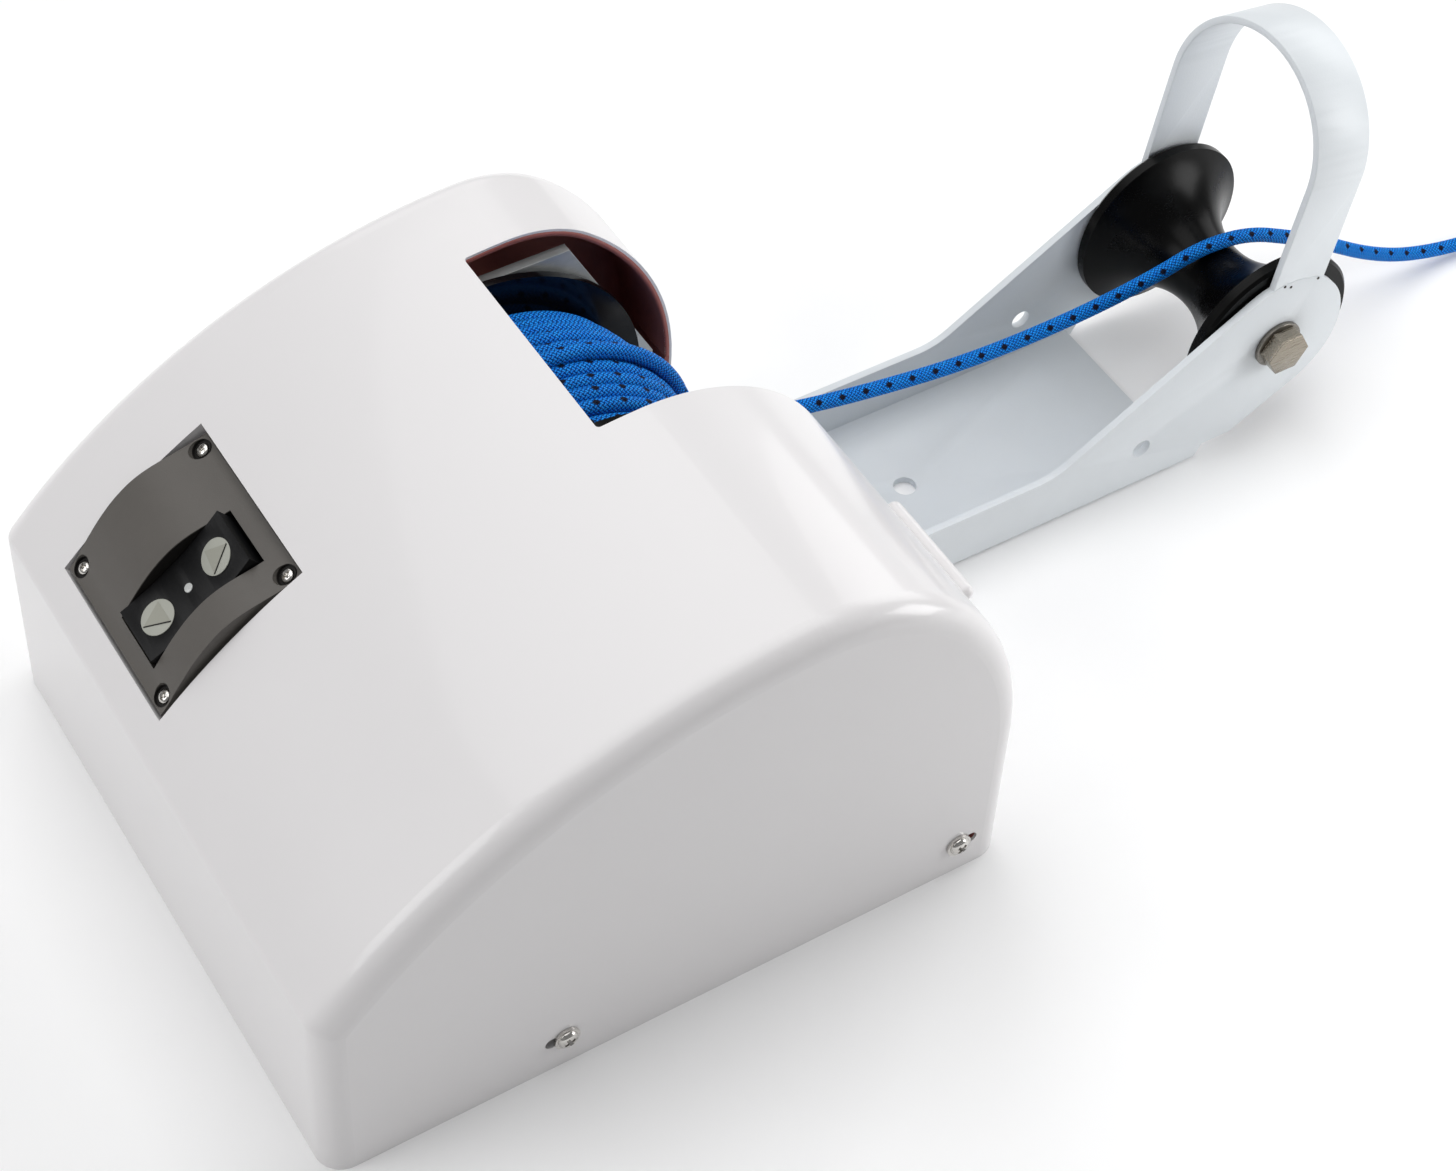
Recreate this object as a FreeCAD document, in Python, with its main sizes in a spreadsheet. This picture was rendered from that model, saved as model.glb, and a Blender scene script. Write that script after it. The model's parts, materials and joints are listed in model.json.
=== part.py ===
"""Electric anchor windlass with a covered rope drum, a bow roller bracket and its rope.

Millimetres. +X runs out over the bow, the way the rope leaves, +Y to the drum's far side, +Z up.
The origin is the middle of the four deck bolts, on the deck that the base plate stands on.
"""
import FreeCAD, Part
import Sketcher
import math
import os

from types import SimpleNamespace

from FreeCAD import Placement, Rotation, Vector

X_AXIS = Vector(1, 0, 0)
Y_AXIS = Vector(0, 1, 0)
Z_AXIS = Vector(0, 0, 1)

# Driving dimensions in millimetres, or degrees where the name says angle.
DIMENSIONS = {
    # moulded cover
    "cover_length": 271.0,
    "cover_width": 250.0,
    "cover_wall": 3.0,
    "cover_draft": 0.013,
    "front_height": 79.5,
    "front_radius": 252.0,
    "crown_radius": 78.0,
    "crown_height": 167.5,
    "crown_from_back": 85.0,
    "back_radius": 118.0,
    "corner_fillet": 10.0,
    "crease_fillet": 4.0,
    "opening_width": 92.0,
    "opening_run": 104.2,
    "strip_step": 17.3,
    "strip_brow_radius": 50.0,
    "strip_brow_angle": 50.0,
    "bead_radius": 3.0,
    "bead_length": 42.0,
    "bead_inset": 49.0,
    "bead_angle": 27.0,
    "bead_lift": 0.6,
    # line of the rope, shared by the drum, the opening and the bow roller
    "rope_line_inset": 88.0,
    "rope_radius": 3.0,
    # control panel
    "panel_start": 11.4,
    "panel_end": 64.7,
    "panel_width": 74.0,
    "panel_aside": 10.0,
    "panel_thickness": 2.5,
    "panel_sink": 4.0,
    "panel_gap": 1.5,
    "hump_height": 9.0,
    "hump_foot": 23.0,
    "panel_screw_inset": 4.6,
    "panel_screw_radius": 2.0,
    "panel_screw_head": 3.7,
    # rocker switch
    "switch_length": 56.0,
    "switch_width": 29.0,
    "switch_wall": 1.6,
    "switch_rise": 2.4,
    "rocker_rise": 4.6,
    "rocker_height": 12.0,
    "disc_thickness": 1.2,
    "switch_depth": 30.0,
    "rocker_gap": 0.6,
    "rocker_end_gap": 1.9,
    "rocker_pivot_drop": 8.0,
    "rocker_pin": 1.5,
    "rocker_valley": 2.4,
    "disc_radius": 6.6,
    "disc_offset": 14.6,
    "lamp_radius": 1.7,
    # base plate
    "base_thickness": 3.0,
    "base_gap": 1.2,
    "lip_height": 24.0,
    "deck_inset_x": 16.0,
    "deck_inset_y": 20.8,
    "deck_hole": 4.5,
    # cover screws
    "cover_screw_front": 90.0,
    "cover_screw_back": 21.0,
    "cover_screw_z": 15.5,
    "cover_screw_radius": 2.0,
    "cover_screw_head": 3.9,
    "cover_screw_crown": 2.7,
    "washer_radius": 4.9,
    "washer_thickness": 1.0,
    "slot_width": 5.0,
    "slot_length": 12.6,
    "slot_shift": 1.8,
    # drum and its brackets
    "drum_from_back": 105.0,
    "drum_height": 91.0,
    "drum_width": 80.0,
    "drum_core": 22.0,
    "flange_radius": 68.0,
    "flange_thickness": 3.0,
    "shaft_radius": 8.0,
    "shaft_overhang": 4.0,
    "clip_radius": 11.5,
    "clip_thickness": 1.2,
    "pack_radius": 55.0,
    "pack_crown": 7.0,
    "bracket_gap": 2.5,
    "bracket_thickness": 4.0,
    "bracket_top": 155.0,
    "bracket_shoulder": 88.0,
    "bracket_front": 70.0,
    "bracket_back": 77.0,
    "bracket_top_front": 26.0,
    "bracket_top_back": 41.0,
    "foot_width": 22.0,
    "foot_front": 60.0,
    "foot_back": 26.0,
    "foot_bolt_spacing": 56.0,
    "gear_side_front": 148.0,
    "gear_side_height": 80.0,
    "gear_side_shoulder_run": 96.0,
    "gear_side_shoulder_height": 118.0,
    "bend_radius": 3.0,
    "bracket_bolt_radius": 3.0,
    "bush_radius": 11.0,
    "bush_flange": 14.0,
    "bush_flange_thickness": 1.8,
    "running_gap": 0.05,
    "seat_gap": 0.02,
    # gear train
    "drum_gear_module": 2.5,
    "drum_gear_teeth": 50,
    "idler_pinion_teeth": 12,
    "idler_gear_module": 1.5,
    "idler_gear_teeth": 60,
    "motor_pinion_teeth": 14,
    "drum_gear_face": 10.0,
    "idler_gear_face": 8.0,
    "gear_side_gap": 1.5,
    "gear_backlash": 0.35,
    "pressure_angle": 25.0,
    "idler_drop": 31.0,
    "motor_drop": 24.0,
    "idler_shaft_radius": 5.0,
    "idler_bush_radius": 8.0,
    "motor_shaft_radius": 4.0,
    "motor_boss_radius": 9.0,
    "gear_plate_thickness": 4.0,
    "spacer_inset": 10.0,
    "spacer_back_run": 30.0,
    "spacer_radius": 5.0,
    "plate_screw_radius": 2.5,
    "plate_screw_flat": 8.0,
    "plate_screw_head": 3.5,
    "gearhead_radius": 23.0,
    "gearhead_length": 18.0,
    "motor_radius": 30.0,
    "motor_end_gap": 10.0,
    "motor_cap_length": 5.0,
    # bow roller bracket
    "davit_width": 86.0,
    "davit_wall": 3.0,
    "davit_start": 23.0,
    "davit_floor_end": 177.0,
    "davit_low_height": 27.0,
    "davit_rise_angle": 31.0,
    "davit_rise_radius": 30.0,
    "notch_height": 8.0,
    "notch_run": 4.0,
    "notch_flat": 14.0,
    "ear_radius": 32.0,
    "roller_from_back": 209.0,
    "roller_height": 52.0,
    "tongue_length": 52.0,
    "tongue_width": 52.0,
    "tongue_bolt_spacing_x": 24.0,
    "tongue_bolt_spacing_y": 32.0,
    "davit_hole": 4.7,
    "davit_hole_run": 66.0,
    "keeper_hole": 4.2,
    "keeper_run": 148.0,
    "keeper_height": 22.0,
    # hoop guard over the roller
    "hoop_width": 26.0,
    "hoop_thickness": 3.0,
    "hoop_foot_height": 24.0,
    "hoop_forward": 5.0,
    "hoop_spring_height": 78.0,
    "hoop_tilt_angle": 8.0,
    # roller
    "roller_gap": 1.0,
    "roller_flange": 38.0,
    "roller_groove": 15.0,
    "roller_rim": 5.0,
    "roller_rim_chamfer": 1.2,
    "roller_bolt_radius": 5.0,
    "roller_bush_radius": 7.0,
    "hex_flat": 17.0,
    "hex_height": 6.4,
    "roller_washer": 10.5,
    "roller_washer_thickness": 2.0,
    # bolts
    "small_bolt_flat": 10.0,
    "small_bolt_head": 4.0,
    "joint_bolt_radius": 4.0,
    "joint_bolt_flat": 13.0,
    "joint_bolt_head": 5.3,
    # rope eye
    "pack_gap": 0.3,
    "pack_angle": 20.0,
    "eye_radius": 14.0,
    "eye_length": 34.0,
    "eye_gap": 1.4,
    "thimble_wall": 1.5,
    "ferrule_radius": 4.6,
    "ferrule_length": 22.0,
    "ferrule_lift": 0.2,
    "grommet_radius": 9.0,
    "grommet_lip": 2.0,
    "grommet_run": 55.0,
    "grommet_inset": 30.0,
    "grommet_height": 7.0,
    "grommet_bore": 5.0,
}

# The rope's corners from the drum to the floor: run out from the cover's back, and height.
ROPE_RUN = [(-37.0, 95.0), (-13.5, 82.0), (35.5, 69.8), (97.0, 60.5), (166.0, 62.5), (213.1, 74.1), (260.0, 49.5),
            (306.0, 18.0)]
# Its corners on the floor: run out from the cover's back, and step aside from the rope's line.
ROPE_FLOOR_RUN = [(343.0, 0.0), (379.0, -4.0), (413.0, 3.0)]
# Two places this close count as one.
TOUCH = 0.1

document = FreeCAD.newDocument("anchor_windlass")
finished = []


class Size:
    """A length that carries its number and the spreadsheet expression it comes from."""

    def __init__(self, number, text):
        self.number = float(number)
        self.text = text

    def __add__(self, other):
        return Size(self.number + value(other), f"({self.text} + {text(other)})")

    def __radd__(self, other):
        return Size(value(other) + self.number, f"({text(other)} + {self.text})")

    def __sub__(self, other):
        return Size(self.number - value(other), f"({self.text} - {text(other)})")

    def __rsub__(self, other):
        return Size(value(other) - self.number, f"({text(other)} - {self.text})")

    def __mul__(self, other):
        return Size(self.number * value(other), f"({self.text} * {text(other)})")

    def __rmul__(self, other):
        return Size(value(other) * self.number, f"({text(other)} * {self.text})")

    def __truediv__(self, other):
        return Size(self.number / value(other), f"({self.text} / {text(other)})")

    def __neg__(self):
        return Size(-self.number, f"(0 - {self.text})")

    def __float__(self):
        return self.number


def value(size):
    """The number behind a Size or a plain number."""
    return size.number if isinstance(size, Size) else float(size)


def text(size):
    """The expression behind a Size or a plain number."""
    return size.text if isinstance(size, Size) else f"{float(size):.9g}"


def make_sheet():
    """Write the driving dimensions into the spreadsheet and return them as Sizes by name."""
    sheet = document.addObject("Spreadsheet::Sheet", "Sizes")
    sizes = {}
    for row, (name, number) in enumerate(DIMENSIONS.items(), start=1):
        sheet.set(f"A{row}", name)
        sheet.set(f"B{row}", str(number))
        sheet.setAlias(f"B{row}", name)
        sizes[name] = Size(number, f"Sizes.{name}")
    document.recompute()
    return sizes


size = SimpleNamespace(**make_sheet())


def bind(item, prop, amount):
    """Set a property, and tie it to the spreadsheet where the amount is a Size."""
    if isinstance(amount, Size):
        item.setExpression(prop, amount.text)


def place(item, position, rotation=None):
    """Put an object at a position of Sizes or numbers, with an optional turn."""
    base = Vector(*[value(part) for part in position])
    item.Placement = Placement(base, rotation or Rotation())
    for axis, amount in zip("xyz", position):
        bind(item, f"Placement.Base.{axis}", amount)
    return item


def turned(axis):
    """The rotation that turns +Z towards the given axis."""
    return Rotation(Z_AXIS, axis)


def box(name, lengths, corner):
    """A block from its lowest corner."""
    item = document.addObject("Part::Box", name)
    for prop, amount in zip(("Length", "Width", "Height"), lengths):
        setattr(item, prop, value(amount))
        bind(item, prop, amount)
    return place(item, corner)


def cylinder(name, radius, height, foot, axis=Z_AXIS):
    """A cylinder that rises from its foot along an axis."""
    item = document.addObject("Part::Cylinder", name)
    item.Radius = value(radius)
    item.Height = value(height)
    bind(item, "Radius", radius)
    bind(item, "Height", height)
    return place(item, foot, turned(axis))


def cone(name, radius_low, radius_high, height, foot, axis=Z_AXIS):
    """A cone frustum that rises from its foot along an axis."""
    item = document.addObject("Part::Cone", name)
    for prop, amount in (("Radius1", radius_low), ("Radius2", radius_high), ("Height", height)):
        setattr(item, prop, value(amount))
        bind(item, prop, amount)
    return place(item, foot, turned(axis))


def hexagon(name, across_flats, height, foot, axis=Z_AXIS):
    """A hexagonal prism, measured across its flats."""
    item = document.addObject("Part::Prism", name)
    item.Polygon = 6
    circumradius = across_flats / 2 * (2 / math.sqrt(3))
    item.Circumradius = value(circumradius)
    item.Height = value(height)
    bind(item, "Circumradius", circumradius)
    bind(item, "Height", height)
    return place(item, foot, turned(axis))


def fuse(name, *items):
    """One solid from several that touch or overlap."""
    item = document.addObject("Part::MultiFuse", name)
    item.Shapes = list(items)
    return item


def cut(name, base, *tools):
    """A base with tools taken away from it."""
    item = document.addObject("Part::Cut", name)
    item.Base = base
    item.Tool = tools[0] if len(tools) == 1 else fuse(name + "_tools", *tools)
    return item


def group(name, items):
    """Separate solids that share one node."""
    item = document.addObject("Part::Compound", name)
    item.Links = list(items)
    return item


def shaped(name, shape):
    """An object whose shape is worked out here from the sheet's sizes."""
    item = document.addObject("Part::Feature", name)
    item.Shape = shape
    return item


def finish(item, label):
    """Name a finished sub-part and list it for writing."""
    item.Label = label
    finished.append(item)
    return item


def new_body(label):
    """A PartDesign body that becomes one sub-part."""
    return finish(document.addObject("PartDesign::Body", label + "_body"), label)


def origin_plane(body, role):
    """One of the body's own origin planes."""
    return next(item for item in body.Origin.OriginFeatures if item.Role == role)


def new_sketch(body, name, role="XY_Plane", offset=0.0):
    """A sketch on one of the body's origin planes, moved along its normal."""
    sketch = body.newObject("Sketcher::SketchObject", name)
    sketch.AttachmentSupport = [(origin_plane(body, role), "")]
    sketch.MapMode = "FlatFace"
    sketch.AttachmentOffset = Placement(Vector(0, 0, value(offset)), Rotation())
    bind(sketch, "AttachmentOffset.Base.z", offset)
    return sketch


def pin_point(sketch, edge, end, position):
    """Fix a point of a sketch at a position of Sizes or numbers from the origin."""
    for kind, amount, axis in (("DistanceX", position[0], -2), ("DistanceY", position[1], -1)):
        if abs(value(amount)) < 1e-9:
            sketch.addConstraint(Sketcher.Constraint("PointOnObject", edge, end, axis))
            continue
        index = sketch.addConstraint(Sketcher.Constraint(kind, -1, 1, edge, end, value(amount)))
        bind(sketch, f"Constraints[{index}]", amount)


def draw_polygon(sketch, corners):
    """Draw a closed outline of straight lines through the corners."""
    first = sketch.GeometryCount
    flat = [Vector(value(corner[0]), value(corner[1]), 0) for corner in corners]
    for start, end in zip(flat, flat[1:] + flat[:1]):
        sketch.addGeometry(Part.LineSegment(start, end), False)
    for step, corner in enumerate(corners):
        before = first + (step - 1) % len(corners)
        sketch.addConstraint(Sketcher.Constraint("Coincident", before, 2, first + step, 1))
        pin_point(sketch, first + step, 1, corner)


def draw_rectangle(sketch, low, high):
    """Draw a rectangle between two corners."""
    draw_polygon(sketch, [low, (high[0], low[1]), high, (low[0], high[1])])


def draw_circle(sketch, centre, radius):
    """Draw a circle with its centre and radius tied to the sheet."""
    middle = Vector(value(centre[0]), value(centre[1]), 0)
    edge = sketch.addGeometry(Part.Circle(middle, Z_AXIS, value(radius)), False)
    pin_point(sketch, edge, 3, centre)
    index = sketch.addConstraint(Sketcher.Constraint("Radius", edge, value(radius)))
    bind(sketch, f"Constraints[{index}]", radius)


def pad(body, sketch, length, backwards=False):
    """Raise a sketch by a length."""
    feature = body.newObject("PartDesign::Pad", sketch.Name + "_pad")
    feature.Profile = sketch
    feature.Length = value(length)
    bind(feature, "Length", length)
    feature.Reversed = backwards
    return feature


def pocket(body, sketch):
    """Cut a sketch through the whole body, both ways."""
    feature = body.newObject("PartDesign::Pocket", sketch.Name + "_pocket")
    feature.Profile = sketch
    feature.Type = "ThroughAll"
    feature.Midplane = True
    return feature


def revolve(body, sketch):
    """Turn a sketch a full circle about its vertical axis."""
    feature = body.newObject("PartDesign::Revolution", sketch.Name + "_turned")
    feature.Profile = sketch
    feature.ReferenceAxis = (sketch, ["V_Axis"])
    feature.Angle = 360.0
    return feature


def dress(body, kind, base, radius, wanted):
    """Fillet or chamfer the edges of the last feature that pass a test."""
    document.recompute()
    names = [f"Edge{i}" for i, edge in enumerate(base.Shape.Edges, start=1) if wanted(edge)]
    feature = body.newObject(f"PartDesign::{kind}", base.Name + "_" + kind.lower())
    feature.Base = (base, names)
    prop = "Radius" if kind == "Fillet" else "Size"
    setattr(feature, prop, value(radius))
    bind(feature, prop, radius)
    return feature


def turned_body(label, outline, foot, axis=Y_AXIS):
    """A body of revolution from (radius, height) corners, standing along an axis."""
    body = new_body(label)
    sketch = new_sketch(body, label + "_outline", "XZ_Plane")
    draw_polygon(sketch, outline)
    revolve(body, sketch)
    place(body, foot, turned(axis))
    return body


# Places that several sub-parts share.
FRONT_X = -size.cover_length / 2
BACK_X = size.cover_length / 2
LINE_Y = size.cover_width / 2 - size.rope_line_inset
PANEL_Y = LINE_Y + size.panel_aside
DRUM_X = BACK_X - size.drum_from_back
DRUM_Z = size.drum_height
DRUM_NEAR_Y = LINE_Y - size.drum_width / 2
DRUM_FAR_Y = LINE_Y + size.drum_width / 2
NEAR_PLATE_Y = DRUM_NEAR_Y - size.bracket_gap - size.bracket_thickness
FAR_PLATE_Y = DRUM_FAR_Y + size.bracket_gap
FLOOR_Z = size.base_thickness
BASE_FRONT_X = FRONT_X + size.cover_wall + size.base_gap
BASE_BACK_X = BACK_X - size.cover_wall - size.base_gap
BASE_STEP_X = BASE_BACK_X - size.strip_step
LIP_Y = size.cover_width / 2 - size.cover_wall - size.base_gap
ROLLER_X = BACK_X + size.roller_from_back
ROLLER_Z = size.roller_height
DAVIT_NEAR_Y = LINE_Y - size.davit_width / 2
DAVIT_FAR_Y = LINE_Y + size.davit_width / 2
GEAR_SPAN = size.drum_gear_face + size.idler_gear_face + 3 * size.gear_side_gap
GEAR_PLATE_Y = NEAR_PLATE_Y - GEAR_SPAN - size.gear_plate_thickness


def cover_profile(inset):
    """Corner and centre points of the cover's side profile, moved inwards by an inset."""
    front, crown, back = (value(size.front_radius), value(size.crown_radius), value(size.back_radius))
    back_x = value(BACK_X)
    crown_centre = Vector(back_x - value(size.crown_from_back), 0, value(size.crown_height) - crown)
    back_centre_x = back_x - back
    rise = math.sqrt((back - crown) ** 2 - (crown_centre.x - back_centre_x) ** 2)
    back_centre = Vector(back_centre_x, 0, crown_centre.z - rise)
    corner = Vector(value(FRONT_X) + value(size.cover_draft) * value(size.front_height), 0,
                    value(size.front_height))
    front_centre = far_circle_crossing(corner, front, crown_centre, front - crown)
    shallow = (crown_centre - front_centre).normalize()
    steep = (crown_centre - back_centre).normalize()
    start_x = corner.x + inset
    start_z = front_centre.z + math.sqrt((front - inset) ** 2 - (start_x - front_centre.x) ** 2)
    return SimpleNamespace(
        start=Vector(start_x, 0, start_z),
        front_centre=front_centre,
        front_radius=front - inset,
        rise=front_centre + shallow * (front - inset),
        crown_centre=crown_centre,
        crown_radius=crown - inset,
        fall=back_centre + steep * (back - inset),
        back_centre=back_centre,
        back_radius=back - inset,
        end=Vector(back_x - inset, 0, back_centre.z),
        foot_front_x=value(FRONT_X) + inset,
    )


def far_circle_crossing(first, first_radius, second, second_radius):
    """The lower crossing of two circles in the XZ plane."""
    apart = second - first
    along = (apart.Length ** 2 + first_radius ** 2 - second_radius ** 2) / (2 * apart.Length)
    aside = math.sqrt(first_radius ** 2 - along ** 2)
    direction = Vector(apart).normalize()
    across = Vector(direction.z, 0, -direction.x)
    return first + direction * along + across * aside


def arc_between(centre, radius, start, end):
    """An arc edge in the XZ plane from start to end, round a centre."""
    middle = ((start - centre).normalize() + (end - centre).normalize()).normalize()
    return Part.Arc(start, centre + middle * radius, end).toShape()


def main_descent(line):
    """The cover's crown and back, as arcs, with the point where they turn upright."""
    return [
        arc_between(line.crown_centre, line.crown_radius, line.rise, line.fall),
        arc_between(line.back_centre, line.back_radius, line.fall, line.end),
    ], line.end


def strip_descent(line):
    """The crown and back of the strip beyond the opening, which stands in from the cover's back."""
    crown = value(size.crown_radius)
    inset = crown - line.crown_radius
    brow = value(size.strip_brow_radius)
    brow_centre = line.crown_centre + (line.rise - line.crown_centre).normalize() * (crown - brow)
    angle = math.radians(value(size.strip_brow_angle))
    turn = Vector(math.cos(angle), 0, math.sin(angle))
    growth = (value(BACK_X - size.strip_step) - brow_centre.x - brow) / (1 - turn.x)
    heel_centre = brow_centre - turn * growth
    heel = brow + growth - inset
    joint = brow_centre + turn * (brow - inset)
    end = heel_centre + X_AXIS * heel
    return [
        arc_between(brow_centre, brow - inset, line.rise, joint),
        arc_between(heel_centre, heel, joint, end),
    ], end


def cover_slab(line, descend, foot_z, start_y, end_y):
    """A slab of the cover's side profile, between two places across it."""
    descent, end = descend(line)
    front_foot = Vector(line.foot_front_x, 0, foot_z)
    back_foot = Vector(end.x, 0, foot_z)
    outline = Part.Wire([
        Part.makeLine(front_foot, line.start),
        arc_between(line.front_centre, line.front_radius, line.start, line.rise),
    ] + descent + [
        Part.makeLine(end, back_foot),
        Part.makeLine(back_foot, front_foot),
    ])
    slab = Part.Face(outline).extrude(Y_AXIS * (end_y - start_y))
    slab.translate(Y_AXIS * start_y)
    return slab


def cover_block(inset, foot_z, edge_round, crease_round):
    """The cover's closed form, with its drafted sides, moved inwards by an inset."""
    line = cover_profile(inset)
    half = value(size.cover_width) / 2
    near = cover_slab(line, main_descent, foot_z, -half, value(LINE_Y))
    slab = near.fuse(cover_slab(line, strip_descent, foot_z, value(LINE_Y), half)).removeSplitter()
    top = value(size.crown_height)
    lean = value(size.cover_draft) * top
    sides = Part.makePolygon([
        Vector(0, -half + inset, foot_z),
        Vector(0, half - inset, foot_z),
        Vector(0, half - inset - lean, top),
        Vector(0, -half + inset + lean, top),
        Vector(0, -half + inset, foot_z),
    ])
    wedge = Part.Face(sides).extrude(X_AXIS * 2 * value(size.cover_length))
    wedge.translate(X_AXIS * -value(size.cover_length))
    block = slab.common(wedge)
    crease = [edge for edge in block.Edges
              if abs(edge.CenterOfMass.y) < 1 and edge.CenterOfMass.distanceToPoint(line.start) < 1]
    block = block.makeFillet(crease_round, crease)
    rim = [edge for edge in block.Edges
           if abs(abs(edge.CenterOfMass.y) - half + inset) < lean + 1
           and edge.BoundBox.ZMax > foot_z + 1]
    return block.makeFillet(edge_round, rim)


def profile_height(x):
    """The height of the cover's front slope at a place along X."""
    line = cover_profile(0)
    return line.front_centre.z + math.sqrt(line.front_radius ** 2 - (x - line.front_centre.x) ** 2)


def panel_frame():
    """The control panel's place: X up the slope, Y across, Z out of the cover."""
    low_x = value(FRONT_X + size.panel_start)
    high_x = value(FRONT_X + size.panel_end)
    low = Vector(low_x, value(PANEL_Y), profile_height(low_x))
    high = Vector(high_x, value(PANEL_Y), profile_height(high_x))
    slope = math.degrees(math.atan2(high.z - low.z, high.x - low.x))
    length = (high - low).Length
    return Placement((low + high) / 2, Rotation(Y_AXIS, -slope)), length


PANEL, PANEL_LENGTH = panel_frame()
SWITCH_Y = -value(size.panel_aside)


def on_panel(item):
    """Move a shape or an object from the panel's own frame to its place on the cover."""
    item.Placement = PANEL.multiply(item.Placement)
    return item


def block_shape(lengths, middle):
    """A block shape from its lengths about a middle point."""
    long, wide, high = [value(part) for part in lengths]
    corner = Vector(*[value(part) for part in middle]) - Vector(long, wide, high) / 2
    return Part.makeBox(long, wide, high, corner)


def cover_pocket_tools():
    """The tray that holds the control panel, its hollow and the switch's way through."""
    gap = value(size.panel_gap)
    wall = value(size.cover_wall)
    floor = -value(size.panel_sink) - value(size.panel_thickness)
    reach = value(size.crown_radius)
    length = PANEL_LENGTH + 2 * gap
    width = value(size.panel_width) + 2 * gap
    tray = block_shape((length + 2 * wall, width + 2 * wall, reach), (0, 0, floor - wall + reach / 2))
    hollow = block_shape((length, width, reach), (0, 0, floor + reach / 2))
    way = block_shape((size.switch_length + 2 * gap, size.switch_width + 2 * gap, reach),
                      (0, SWITCH_Y, floor))
    holes = [Part.makeCylinder(value(size.panel_screw_radius) + value(size.seat_gap), 2 * wall,
                               Vector(x, y, floor - 1.5 * wall)) for x, y in panel_screw_places()]
    return on_panel(tray), [on_panel(hollow), on_panel(way)] + [on_panel(hole) for hole in holes]


def panel_screw_places():
    """The four screw places in the panel's own frame."""
    inset = value(size.panel_screw_inset)
    along = PANEL_LENGTH / 2 - inset
    across = value(size.panel_width) / 2 - inset
    return [(x, y) for x in (-along, along) for y in (-across, across)]


def cover_screw_places():
    """X, side and the way its slot reaches, for each cover screw."""
    front = FRONT_X + size.cover_screw_front
    back = BACK_X - size.cover_screw_back
    return [(front, -1, -1), (front, 1, -1), (back, -1, 1), (back - size.strip_step, 1, 1)]


def screw_slot(x, side, shift):
    """A lying slot through one side of the cover."""
    radius = value(size.slot_width) / 2
    half_run = value(size.slot_length) / 2 - radius
    middle = value(x) + shift * value(size.slot_shift)
    width = value(size.cover_width)
    foot_y = min(side, 0) * width
    height = value(size.cover_screw_z)
    start = Vector(middle - half_run, foot_y, height)
    end = Vector(middle + half_run, foot_y, height)
    slot = Part.makeBox(2 * half_run, width, 2 * radius, start - Z_AXIS * radius)
    for centre in (start, end):
        slot = slot.fuse(Part.makeCylinder(radius, width, centre, Y_AXIS))
    return slot


def back_bead():
    """The raised bead that lies across the near part of the cover's back."""
    line = cover_profile(0)
    angle = math.radians(value(size.bead_angle))
    radius = value(size.bead_radius)
    half = value(size.bead_length) / 2
    outwards = Vector(math.cos(angle), 0, math.sin(angle))
    centre = line.back_centre + outwards * (line.back_radius + value(size.bead_lift))
    centre.y = value(size.bead_inset - size.cover_width / 2)
    bead = Part.makeCylinder(radius, 2 * half, centre - Y_AXIS * half, Y_AXIS)
    for end in (-half, half):
        bead = bead.fuse(Part.makeSphere(radius, centre + Y_AXIS * end))
    return bead


def make_cover():
    """The moulded cover: a drafted shell of tangent arcs, open over the drum and below."""
    wall = value(size.cover_wall)
    corner, crease = value(size.corner_fillet), value(size.crease_fillet)
    outer = cover_block(0, 0, corner, crease)
    shell = outer.cut(cover_block(wall, -1, corner - wall, crease - wall))
    tray, hollows = cover_pocket_tools()
    shell = shell.fuse(tray.common(outer))
    shell = shell.fuse(back_bead())
    width = value(size.opening_width)
    run = value(size.opening_run)
    tall = 2 * value(size.crown_height)
    opening = Part.makeBox(2 * run, width, tall,
                           Vector(value(BACK_X) - run, value(LINE_Y) - width / 2, -1))
    corners = [edge for edge in opening.Edges if edge.BoundBox.ZLength > tall - 1]
    opening = opening.makeFillet(wall / 2, corners)
    slots = [screw_slot(x, side, shift) for x, side, shift in cover_screw_places()]
    shell = shell.cut(Part.makeCompound([opening] + hollows + slots))
    return finish(shaped("cover_shell", shell.removeSplitter()), "cover")


def hump_profile(low, top, foot):
    """The panel's wave in its own frame: flat ends with a smooth hump between them."""
    half = PANEL_LENGTH / 2
    quarter = foot / 2
    rise = (top - low) / 2
    radius = (quarter ** 2 + rise ** 2) / (2 * rise)
    turn = math.asin(quarter / radius) / 2
    crest = Vector(radius * math.sin(turn), 0, top - radius + radius * math.cos(turn))
    swell = Vector(foot - radius * math.sin(turn), 0, low + radius - radius * math.cos(turn))
    middle = Vector(quarter, 0, low + rise)
    mirror = [Vector(-point.x, 0, point.z) for point in (crest, middle, swell)]
    return [
        Part.makeLine(Vector(-half, 0, low), Vector(-foot, 0, low)),
        Part.Arc(Vector(-foot, 0, low), mirror[2], mirror[1]).toShape(),
        Part.Arc(mirror[1], mirror[0], Vector(0, 0, top)).toShape(),
        Part.Arc(Vector(0, 0, top), crest, middle).toShape(),
        Part.Arc(middle, swell, Vector(foot, 0, low)).toShape(),
        Part.makeLine(Vector(foot, 0, low), Vector(half, 0, low)),
    ]


def wave_block(low, top, foot, floor, width):
    """A block under the panel's wave, down to a floor and across a width."""
    edges = hump_profile(low, top, foot)
    half = PANEL_LENGTH / 2
    corners = [Vector(half, 0, low), Vector(half, 0, floor), Vector(-half, 0, floor),
               Vector(-half, 0, low)]
    edges += [Part.makeLine(start, end) for start, end in zip(corners, corners[1:])]
    block = Part.Face(Part.Wire(edges)).extrude(Y_AXIS * width)
    block.translate(Y_AXIS * -width / 2)
    return block


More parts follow.
